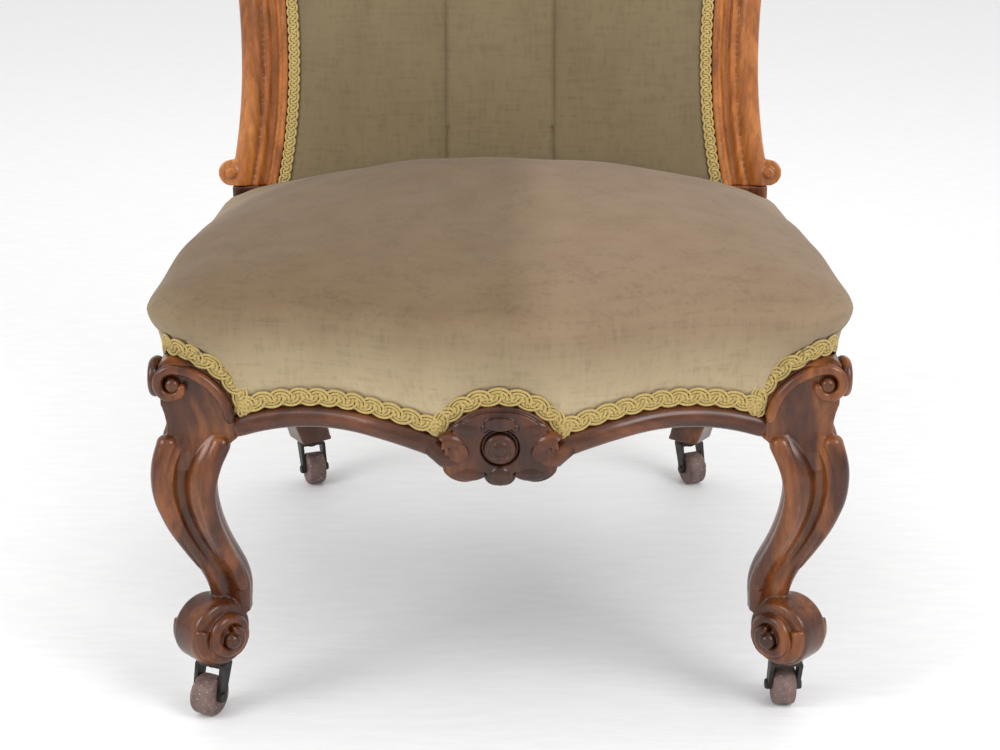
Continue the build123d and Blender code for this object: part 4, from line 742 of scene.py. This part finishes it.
def dome_height(x, y):
    """Height of the crown over a place in plan: rounded edges, fuller in front, low at its rear corners."""
    across = np.clip(np.abs(x) / DOME_HALF_WIDTH, 0, 1) ** 2
    ahead = np.clip((DOME_MIDDLE_Y - y) / DOME_FRONT_LENGTH, 0, 1) ** 2
    behind = np.clip((y - DOME_MIDDLE_Y) / DOME_REAR_LENGTH, 0, 1) ** DOME_REAR_POWER
    share = np.clip((y - DROOP_START_Y) / (BACK_EDGE_Y - DROOP_START_Y), 0, 1)
    rearward = share ** 2 * (3 - 2 * share)
    droop = REAR_DROOP * across * rearward
    rounding = EDGE_DROP * (1 - REAR_EASE * rearward) * (1 - np.sqrt(1 - edge_share(x, y) ** 2))
    return DOME_EDGE_Z + DOME_RISE * (1 - across) * (1 - ahead - behind) - droop - rounding


def seat_layers():
    """Rings of points from the underside, up the skirt and swollen sides and over the crown."""
    inside = grown(UNDERSIDE_GROWTH)
    layers = [np.column_stack([inside, np.full(len(plan), RAIL_TOP_Z + UNDERSIDE_LAP)])]
    layers.append(np.column_stack([inside, np.minimum(low_edge, RAIL_TOP_Z)]))
    widest = grown(BULGE)
    rim = dome_height(widest[:, 0], widest[:, 1])
    start = low_edge + GIMP_WIDTH
    for share in np.linspace(0, 1, SIDE_LAYERS):
        z = low_edge + (rim - low_edge) * share
        turn = np.clip((z - start) / (rim - start), 0, 1)
        growth = SKIRT + (BULGE - SKIRT) * np.sin(turn * math.pi / 2) ** SIDE_POWER
        layers.append(np.column_stack([grown(growth), z]))
    middle = np.array([0, MIDDLE_Y])
    for share in np.linspace(0, 1, CROWN_LAYERS)[1:-1]:
        place = middle + (widest - middle) * (1 - share ** CROWN_POWER)
        layers.append(np.column_stack([place, dome_height(place[:, 0], place[:, 1])]))
    for index in range(FIRST_FOLDED_LAYER, len(layers)):
        layer = layers[index]
        layer[:, :2] -= outward * corner_pleats(layer)[:, None]
        if index > LAST_EVEN_LAYER:
            layer[:, 2] += uneven(layer) * min((index - LAST_EVEN_LAYER) / UNEVEN_RUN, 1)
    return layers


def make_seat():
    """Closed form of the upholstered seat, with a flat underside on the rails."""
    layers = seat_layers()
    count = len(plan)
    faces = ring_faces(len(layers), count)
    crown = [0, MIDDLE_Y, layers[-1][:, 2].mean()]
    underside = [0, MIDDLE_Y, RAIL_TOP_Z + UNDERSIDE_LAP]
    verts = np.concatenate(layers + [[crown, underside]])
    top = len(verts) - 2
    last = (len(layers) - 1) * count
    for j in range(count):
        k = (j + 1) % count
        faces.append((last + j, last + k, top))
        faces.append((k, j, top + 1))
    return add_mesh("seat_upholstery", verts, faces)


seat = make_seat()
face_outwards(seat)
dress(seat, seat_velvet)
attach(seat, ROOT)
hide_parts("seat_cover", "seat_stuffing")


# Gimp braid: crescents of cord turned up and down by turns, each lapping over the next, over a dark ribbon
# of painted shade
def make_gimp(name, path, outside, width, pitch, stands, strands):
    """Braid along a path, given the way out from the cloth at each point of it."""
    run = distance_run(path)
    stops = np.arange(0, run[-1], GIMP_STEP)
    source = read_along(stops, run, path)
    out = unit(read_along(stops, run, outside))
    ahead = unit(np.gradient(source, axis=0))
    across = unit(np.cross(ahead, out))
    turn = np.linspace(-CRESCENT_BEFORE, math.pi + CRESCENT_AFTER, CRESCENT_POINTS)
    lift = stands + width * (CRESCENT_LIFT + CRESCENT_LAP * turn / math.pi)
    paths = []
    for index in range(int(stops[-1] / pitch) * 2):
        flip = 1 if index % 2 else -1
        centre = (index / 2 + 0.5) * pitch
        for strand in strands:
            along = np.clip(centre - np.cos(turn) * pitch * CRESCENT_REACH * strand, 0, stops[-1])
            along = along + turn * CRESCENT_LEAD
            aside = flip * width * (CRESCENT_HEIGHT * strand * np.sin(turn) - CRESCENT_OFFSET)
            paths.append(read_along(along, stops, source)
                         + read_along(along, stops, across) * aside[:, None]
                         + read_along(along, stops, out) * lift[:, None])
    radius = width * STRAND_SHARE / len(strands)
    loops = cords(f"{name}_loops", paths, [radius] * len(paths), gimp, 6)
    # A dark ribbon under the loops, painted shade in the gaps between them
    shade_line = source + out * (stands - SHADE_SHEET_SINK)
    edges = [shade_line + across * (share * width) for share in (-SHADE_SHEET_SHARE, SHADE_SHEET_SHARE)]
    faces = [(i, i + 1, len(source) + i + 1, len(source) + i) for i in range(len(source) - 1)]
    shade_sheet = add_mesh(f"{name}_tape", np.concatenate(edges), faces)
    dress(shade_sheet, gimp_shade)
    braid = join([loops, shade_sheet], name)
    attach(braid, ROOT)
    return braid


order = [i for i in range(len(plan)) if plan[i][1] < BACK_EDGE_Y - GIMP_ENDS]
right_side = [i for i in order if i < len(half_plan)]
left_side = [i for i in order if i >= len(half_plan)]
front_run = left_side + right_side
edge_path = np.column_stack([grown(SKIRT)[front_run], low_edge[front_run]])
edge_out = np.column_stack([outward[front_run], np.zeros(len(front_run))])
edge_up = np.cross(edge_out, unit(np.gradient(edge_path, axis=0)))
edge_path = edge_path + edge_up * (GIMP_WIDTH / 2)
seat_gimp = make_gimp("seat_gimp", edge_path, edge_out, GIMP_WIDTH, GIMP_PITCH, GIMP_STAND, GIMP_STRANDS)
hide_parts("seat_braid")


# Carving: rounded members on the knees, legs, scroll feet and cartouche, bedded in the solids
def faded(count, radius, start, end):
    """Radius along a member that swells from a rounded start and dies away to a rounded end."""
    share = np.linspace(0, 1, count)
    body = start + (end - start) * share
    head = np.clip(1 - share / MEMBER_ROUNDING, 0, 1)
    tail = np.clip(1 - (1 - share) / MEMBER_ROUNDING, 0, 1)
    for end_share in (head, tail):
        body = body * np.sqrt(np.clip(1 - end_share ** 2, LEAST_ROUNDING, 1))
    return radius * body


def knee_scroll():
    """Band over the knee and round its volute, as places across and up the leg's front face."""
    radius = knee_radius - KNEE_BAND
    first = math.atan2(KNEE_ARC[0][1] - knee_z, KNEE_ARC[0][0] - knee_u)
    last = math.atan2(KNEE_ARC[2][1] - knee_z, KNEE_ARC[2][0] - knee_u)
    if first < last:
        first += 2 * math.pi
    points = []
    for angle in np.linspace(first, last, KNEE_POINTS):
        points.append((knee_u + radius * math.cos(angle), knee_z + radius * math.sin(angle)))
    coil = math.hypot(points[-1][0] - VOLUTE_U, points[-1][1] - VOLUTE_Z)
    for share in np.linspace(0, 1, VOLUTE_POINTS)[1:]:
        angle = math.pi / 2 - share * VOLUTE_HALF_TURNS * math.pi
        reach = coil * (1 - VOLUTE_CLOSING * share ** VOLUTE_POWER)
        points.append((VOLUTE_U + reach * math.cos(angle), VOLUTE_Z + reach * math.sin(angle)))
    return np.array(points)


def on_leg(side, across, forward, height):
    return np.stack([side * (PIVOT_X + across), PIVOT_Y - forward, height], axis=-1)


def leg_edge(places):
    """An edge of the leg's face at even heights, softened where its stretches meet."""
    edge = np.interp(-leg_heights, [-z for z in LEG_HEIGHTS], places)
    longer = np.pad(edge, LEG_SOFTEN // 2, mode="edge")
    return np.convolve(longer, np.ones(LEG_SOFTEN) / LEG_SOFTEN, mode="valid")


def knee_members(side):
    """The scroll on the knee's front and outer faces."""
    face = np.full(len(scroll), KNEE_FACE - KNEE_SINK)
    paths = [on_leg(side, scroll[:, 0], face, scroll[:, 1]), on_leg(side, face, scroll[:, 0], scroll[:, 1])]
    return paths, [faded(len(scroll), KNEE_MEMBER, *KNEE_MEMBER_SHARES)] * 2


def shaft_members(side):
    """The husk down the leg's outer corner and the roll along the edge of each face."""
    husk = leg_heights > HUSK_LOW_Z
    corner = leg_outer[husk] - HUSK_INSET
    roll = leg_inner + SHAFT_INNER_INSET
    ridge = leg_outer - SHAFT_OUTER_INSET
    paths = [on_leg(side, corner, corner, leg_heights[husk]),
             on_leg(side, roll, ridge, leg_heights),
             on_leg(side, ridge, roll, leg_heights)]
    shaft_radius = faded(len(leg_heights), SHAFT_RADIUS, 1.0, SHAFT_END)
    return paths, [faded(husk.sum(), HUSK_RADIUS, 1.0, HUSK_END), shaft_radius, shaft_radius]


def foot_place(side, sway, stand, height):
    """A place on a scroll foot, which stands across the chair's corner."""
    return on_leg(side, (sway - stand) / math.sqrt(2), (sway + stand) / math.sqrt(2), height)


def foot_whorl(side, end):
    """The whorl coiling out to the eye on one side of the foot."""
    share = np.linspace(0, 1, WHORL_POINTS)
    angle = math.pi * (WHORL_START - WHORL_HALF_TURNS * share)
    reach = WHORL_RADIUS - WHORL_CLOSING * share ** WHORL_POWER
    stand = end * (WHORL_STAND + WHORL_RISE * share)
    sway = -WHORL_BACK * share + reach * np.cos(angle)
    height = FOOT_CENTRE_Z - WHORL_DROP * share + reach * np.sin(angle)
    return foot_place(side, sway, stand, height), WHORL_MEMBER - WHORL_THINNING * share


def eyes(side):
    """Bosses in the knee's two volutes and on both sides of the foot."""
    knee_stand = KNEE_FACE - KNEE_EYE_SINK
    places = [(on_leg(side, VOLUTE_U, knee_stand, VOLUTE_Z), (KNEE_EYE, KNEE_EYE_DEPTH, KNEE_EYE)),
              (on_leg(side, knee_stand, VOLUTE_U, VOLUTE_Z), (KNEE_EYE_DEPTH, KNEE_EYE, KNEE_EYE))]
    for end in (-1, 1):
        centre = foot_place(side, -WHORL_BACK, end * FOOT_EYE_STAND, FOOT_CENTRE_Z - WHORL_DROP)
        places.append((centre, (FOOT_EYE, FOOT_EYE, FOOT_EYE)))
    return places


scroll = knee_scroll()
leg_heights = np.linspace(LEG_HEIGHTS[0], LEG_HEIGHTS[-1], LEG_POINTS)
leg_inner = leg_edge(LEG_INNER)
leg_outer = leg_edge(LEG_OUTER)
member_paths = []
member_radii = []
eye_places = []
for side in (-1, 1):
    for paths, radii in (knee_members(side), shaft_members(side)):
        member_paths += paths
        member_radii += radii
    for end in (-1, 1):
        path, radius = foot_whorl(side, end)
        member_paths.append(path)
        member_radii.append(radius)
    eye_places += eyes(side)
leg_carving = join([cords("leg_members", member_paths, member_radii, carved_wood, MEMBER_SIDES),
                    lobes("leg_eyes", eye_places, carved_wood)], "leg_carving")
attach(leg_carving, ROOT)


# Roll along the lower edge of the front rail
def roll_hook(side):
    """End of the rail's roll, curled up on itself against the cartouche."""
    share = np.linspace(0, 1, HOOK_POINTS)
    angle = -math.pi / 2 - share * HOOK_HALF_TURNS * math.pi
    curl = HOOK_CURL - HOOK_CLOSING * share
    depth = CLOTH_FACE_Y - FRONT_BOW - HOOK_FORWARD - HOOK_STAND * share
    return np.column_stack([side * (HOOK_X + curl * np.cos(angle)), depth, HOOK_Z + curl * np.sin(angle)])


def roll_path(side):
    points = []
    for x in np.linspace(ROLL_START_X, ROLL_END_X, ROLL_POINTS):
        height = lower_edge(min(x, RAIL_HALF), bow(x)) - ROLL_TOP + ROLL_AXIS
        points.append((side * x, bow(x) - ROLL_STAND, height))
    return np.concatenate([points, roll_hook(side)])


roll_radius = np.concatenate([np.linspace(ROLL_START_RADIUS, ROLL_END_RADIUS, ROLL_POINTS),
                              np.linspace(ROLL_END_RADIUS, HOOK_END_RADIUS, HOOK_POINTS)])
rail_roll = cords("rail_roll", [roll_path(-1), roll_path(1)], [roll_radius] * 2, rail_wood, MEMBER_SIDES)
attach(rail_roll, ROOT)

# Cartouche: boss, lower and upper lobes in the middle, and three lobes on each side
cartouche_y = CLOTH_FACE_Y - FRONT_BOW - CARTOUCHE_STAND
ring_turn = np.linspace(0, 2 * math.pi, RING_POINTS)
ring = np.column_stack([RING_RADIUS * np.cos(ring_turn), np.full(RING_POINTS, cartouche_y - RING_STAND),
                        CARTOUCHE_MIDDLE_Z + RING_RADIUS * np.sin(ring_turn)])
cartouche_lobes = [((0, cartouche_y - 1.6, CARTOUCHE_MIDDLE_Z), (6.6, 3.0, 6.6)),
                   ((0, cartouche_y + 1.5, 237.5), (8.5, 4.0, 8.0)),
                   ((0, cartouche_y, 279.5), (9.0, 3.0, 4.6))]
for side in (-1, 1):
    cartouche_lobes.append(((side * 23.0, cartouche_y + 2.5, 239.0), (13.0, 4.0, 6.0)))
    cartouche_lobes.append(((side * 11.0, cartouche_y + 0.5, 276.0), (3.6, 2.6, 3.6)))
    cartouche_lobes.append(((side * 24.0, cartouche_y + 2.5, 274.0), (12.0, 3.4, 7.0)))
cartouche_carving = join([cords("cartouche_ring", [ring], [RING_CORD], carved_wood, RING_SIDES),
                          lobes("cartouche_lobes", cartouche_lobes, carved_wood)], "cartouche_carving")
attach(cartouche_carving, ROOT)


# Back
def back_point(x, s, depth):
    """Point of a place on the leaning back, in millimetres."""
    x = np.asarray(x, dtype=float)
    s = np.asarray(s)
    depth = np.asarray(depth)
    y = BACK_Y + math.sin(LEAN) * s - math.cos(LEAN) * depth
    z = BACK_Z + math.cos(LEAN) * s + math.sin(LEAN) * depth
    return np.stack([x, y, z], axis=-1)


def frame_edge():
    """Outer edge of the back frame's right half, from its foot to the middle of the crest."""
    points = []
    for s in np.linspace(0, SHOULDER_S, EDGE_POINTS):
        if s <= WAIST_S:
            x = WAIST_X + (FLARE_X - WAIST_X) * (1 - s / WAIST_S) ** 2
        else:
            share = (s - WAIST_S) / (SHOULDER_S - WAIST_S)
            x = WAIST_X + (SHOULDER_X - WAIST_X) * (1 - math.cos(math.pi * share)) / 2
        points.append((x, s))
    for turn in np.linspace(0, math.pi / 2, EDGE_POINTS)[1:]:
        x = SHOULDER_X * math.cos(turn) ** (2 / CREST_POWER)
        s = SHOULDER_S + (CREST_TOP_S - SHOULDER_S) * math.sin(turn) ** (2 / CREST_POWER)
        points.append((x, s))
    return np.array(points)


def inset_edge(inset):
    """The frame's outer edge moved inwards, without the points that would turn back."""
    edge = frame_edge()
    heading = unit(np.gradient(edge, axis=0))
    heading[-1] = (-1, 0)
    inner = edge + np.column_stack([-heading[:, 1], heading[:, 0]]) * inset
    inner[-1, 0] = 0
    keep = [0]
    for i in range(1, len(inner)):
        if inner[i, 1] > inner[keep[-1], 1] + 0.01 and inner[i, 0] >= 0:
            keep.append(i)
    return inner[keep]


def distance_to(x, s, line):
    """Distance from each point to a line of points."""
    best = np.full(np.shape(x), np.inf)
    for (ax, ay), (bx, by) in zip(line[:-1], line[1:]):
        dx = bx - ax
        dy = by - ay
        along = np.clip(((x - ax) * dx + (s - ay) * dy) / (dx * dx + dy * dy), 0, 1)
        best = np.minimum(best, np.hypot(x - ax - along * dx, s - ay - along * dy))
    return best


middle_s = BUTTON_FIRST_S + BUTTON_PITCH_S
high_s = middle_s + BUTTON_PITCH_S
buttons = [(side * BUTTON_X, s) for s in (BUTTON_FIRST_S, high_s) for side in (-1, 1)]
buttons += [(column * 2 * BUTTON_X, middle_s) for column in (-1, 0, 1)]
creases = []
for side in (-1, 1):
    near = side * BUTTON_X
    creases.append([(near, BUTTON_FIRST_S), (0, middle_s)])
    creases.append([(near, BUTTON_FIRST_S), (2 * near, middle_s)])
    creases.append([(0, middle_s), (near, high_s)])
    creases.append([(2 * near, middle_s), (near, high_s)])
    creases.append([(near, high_s), (CREASE_SPREAD * near, CREST_TOP_S - STILE_WIDTH)])
    creases.append([(2 * near, middle_s), (side * (SHOULDER_X - STILE_WIDTH), middle_s + BUTTON_X / 2)])


def pad_depth(x, s):
    """Depth of the pad's face: flat border under the braid, crown, long pleats, diamonds and dimples."""
    rim = distance_to(np.abs(x), s, pad_edge)
    rise = np.clip((rim - BRAID_BAND) / PAD_SHOULDER, 0, 1)
    depth = PAD_BORDER + (PAD_CROWN - PAD_BORDER) * (1 - (1 - rise) ** PAD_POWER)
    beyond = np.abs(x) - BUTTON_X
    fold = np.where(beyond > 0, LONG_PLEAT_DEPTH * np.exp(-beyond / LONG_PLEAT_RUN),
                    LONG_PLEAT_LIP * np.exp(beyond / LONG_PLEAT_LIP_RUN))
    depth = depth - fold * np.clip((BUTTON_FIRST_S + LONG_PLEAT_PAST - s) / LONG_PLEAT_FADE, 0, 1)
    for line in creases:
        depth = depth - CREASE_DEPTH * np.exp(-distance_to(x, s, line) / CREASE_RUN)
    for button_x, button_s in buttons:
        depth = depth - DIMPLE_DEPTH * np.exp(-((x - button_x) ** 2 + (s - button_s) ** 2) / DIMPLE_SPREAD)
    depth = depth + PAD_WAVE * np.sin(x * 0.05 + s * 0.021) * rise
    return np.maximum(depth, PAD_BORDER - PAD_LEAST)


def make_panel(name, edge, low_s, rows, across, front_depth, back_depth):
    """Closed panel inside an edge, with a modelled front face and a plain back."""
    levels = np.linspace(low_s, edge[-1, 1] - PANEL_TOP_GAP, rows)
    widths = np.interp(levels, edge[:, 1], edge[:, 0])
    x = widths[:, None] * np.linspace(-1, 1, across)[None, :]
    s = np.repeat(levels[:, None], across, axis=1)
    front = back_point(x, s, front_depth(x, s)).reshape(-1, 3)
    back = back_point(x, s, np.full(x.shape, back_depth)).reshape(-1, 3)
    total = rows * across
    faces = []
    for i in range(rows - 1):
        for j in range(across - 1):
            a = i * across + j
            b = a + 1
            c = b + across
            d = a + across
            faces.append((a, b, c, d))
            faces.append((total + d, total + c, total + b, total + a))
    rim = list(range(across))
    rim += [i * across + across - 1 for i in range(1, rows)]
    rim += [(rows - 1) * across + j for j in range(across - 2, -1, -1)]
    rim += [i * across for i in range(rows - 2, 0, -1)]
    for a, b in zip(rim, rim[1:] + rim[:1]):
        faces.append((a, total + a, total + b, b))
    panel = add_mesh(name, np.concatenate([front, back]), faces)
    face_outwards(panel)
    return panel


pad_edge = inset_edge(STILE_WIDTH + PAD_GAP)
pad = make_panel("back_upholstery", pad_edge, PAD_LOW_S, PAD_ROWS, PAD_COLUMNS, pad_depth, PAD_BACK)
dress(pad, back_velvet)
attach(pad, ROOT)
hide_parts("back_pad")


def make_button(index, x, s):
    bpy.ops.mesh.primitive_uv_sphere_add(segments=28, ring_count=16, radius=1.0)
    button = bpy.context.object
    button.name = f"back_button_{index}"
    for vert in button.data.vertices:
        place = back_point(x + vert.co.x * BUTTON_RADIUS, s + vert.co.y * BUTTON_RADIUS,
                           BUTTON_DEPTH + vert.co.z * BUTTON_RADIUS * BUTTON_FLATNESS)
        vert.co = place * MM
    button.data.polygons.foreach_set("use_smooth", [True] * len(button.data.polygons))
    dress(button, back_velvet)
    return button


button_set = join([make_button(index, x, s) for index, (x, s) in enumerate(buttons)], "button_covers")
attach(button_set, ROOT)
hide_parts("back_buttons")

# Narrow gimp round the back pad, up one side, over and down the other
gimp_edge = inset_edge(STILE_WIDTH + PAD_GAP + BACK_GIMP_WIDTH / 2)
gimp_edge = gimp_edge[gimp_edge[:, 1] > PAD_LOW_S + 1]
gimp_line = np.concatenate([gimp_edge, (gimp_edge * (-1, 1))[::-1][1:]])
gimp_path = back_point(gimp_line[:, 0], gimp_line[:, 1], PAD_BORDER + 0.3)
gimp_out = np.repeat([[0.0, -math.cos(LEAN), math.sin(LEAN)]], len(gimp_path), axis=0)
back_gimp = make_gimp("back_gimp", gimp_path, gimp_out, BACK_GIMP_WIDTH, BACK_GIMP_PITCH, BACK_GIMP_STAND,
                      BACK_GIMP_STRANDS)
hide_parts("back_braid")

# Cloth stretched over the outside of the back
outside_edge = inset_edge(OUTSIDE_INSET)


def outside_depth(x, s):
    rim = distance_to(np.abs(x), s, outside_edge)
    crown = OUTSIDE_CROWN * np.clip(rim / OUTSIDE_ROUND, 0, 1) ** OUTSIDE_POWER
    return OUTSIDE_DEPTH - crown + OUTSIDE_WAVE * np.sin(x * 0.024) * np.sin(s * 0.019)


outside = make_panel("outside_back_cloth", outside_edge, OUTSIDE_INSET, OUTSIDE_ROWS, OUTSIDE_COLUMNS,
                     outside_depth, OUTSIDE_DEPTH)
dress(outside, back_velvet)
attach(outside, ROOT)
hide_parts("outside_back")


# Black cloth under the seat, sagging a little between its tacks
def make_dust_cloth():
    low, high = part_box("dust_cover")
    cloth = bpy.data.objects.new("dust_cloth", nodes["dust_cover"].data.copy())
    bpy.context.scene.collection.objects.link(cloth)
    remesh = cloth.modifiers.new("fine", "REMESH")
    remesh.mode = "SHARP"
    remesh.octree_depth = 7
    remesh.use_remove_disconnected = False
    bpy.context.view_layer.objects.active = cloth
    bpy.ops.object.modifier_apply(modifier="fine")
    middle = [(low[i] + high[i]) / 2 for i in range(2)]
    half = [(high[i] - low[i]) / 2 for i in range(2)]
    for vert in cloth.data.vertices:
        u = (vert.co.x - middle[0]) / half[0]
        v = (vert.co.y - middle[1]) / half[1]
        sag = max(1 - u * u, 0) * max(1 - v * v, 0)
        ripple = math.sin(vert.co.x * 60) * math.sin(vert.co.y * 45)
        vert.co.z -= DUST_SAG * MM * sag + DUST_RIPPLE * MM * sag * ripple
    cloth.data.polygons.foreach_set("use_smooth", [True] * len(cloth.data.polygons))
    return cloth


dust_cloth = make_dust_cloth()
dress(dust_cloth, black_cloth)
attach(dust_cloth, ROOT)
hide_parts("dust_cover")

# Floor
bpy.ops.mesh.primitive_plane_add(size=30, location=(0, 0, 0))
floor = bpy.context.object
floor.name = "floor"
paint = Shader("floor paint")
brushed = paint.noise(paint.stretched((1.0, 5.0, 1.0)), 22.0, 6.0, 0.6)
paint_colour = paint.ramp(brushed, [(0.3, (0.87, 0.87, 0.875)), (0.7, grey(0.92))])
paint.finish(Base_Color=paint_colour, Roughness=0.55, Normal=paint.bump(brushed, 0.25, 0.002))
dress(floor, paint.material)

# World: white light all round, with a slightly grey backdrop where the camera sees it
WORLD_STRENGTH = 0.86
world = bpy.data.worlds.new("studio")
bpy.context.scene.world = world
world.use_nodes = True
background = world.node_tree.nodes["Background"]
background.inputs["Color"].default_value = (1.0, 1.0, 1.0, 1.0)
background.inputs["Strength"].default_value = WORLD_STRENGTH
backdrop = world.node_tree.nodes.new("ShaderNodeBackground")
backdrop.inputs["Color"].default_value = (0.90, 0.905, 0.91, 1.0)
seen = world.node_tree.nodes.new("ShaderNodeLightPath")
choice = world.node_tree.nodes.new("ShaderNodeMixShader")
links = world.node_tree.links
links.new(seen.outputs["Is Camera Ray"], choice.inputs["Fac"])
links.new(background.outputs["Background"], choice.inputs[1])
links.new(backdrop.outputs["Background"], choice.inputs[2])
links.new(choice.outputs["Shader"], world.node_tree.nodes["World Output"].inputs["Surface"])

# Lamps, all turned towards the seat
AIM_HEIGHT = 0.3


def add_light(name, place, size, power):
    lamp = bpy.data.lights.new(name, "AREA")
    lamp.size = size
    lamp.energy = power
    lamp_object = bpy.data.objects.new(name, lamp)
    lamp_object.location = place
    tilt = math.atan2(math.hypot(place[0], place[1]), place[2] - AIM_HEIGHT)
    lamp_object.rotation_euler = (tilt, 0, math.atan2(place[0], -place[1]))
    bpy.context.scene.collection.objects.link(lamp_object)


add_light("key", place=(1.8, -1.5, 2.0), size=1.3, power=34.0)
add_light("fill", place=(-2.0, -1.2, 1.7), size=1.2, power=26.0)
add_light("top", place=(0.0, 0.2, 3.0), size=3.0, power=16.0)

# Camera
camera = bpy.data.cameras.new("camera")
camera.lens = CAMERA_LENS
camera.sensor_width = SENSOR_WIDTH
camera_object = bpy.data.objects.new("camera", camera)
camera_object.location = (0, -CAMERA_BACK, CAMERA_HEIGHT)
camera_object.rotation_euler = (math.radians(90 - CAMERA_PITCH), 0, 0)
bpy.context.scene.collection.objects.link(camera_object)
bpy.context.scene.camera = camera_object
bpy.context.scene.view_settings.view_transform = "Standard"
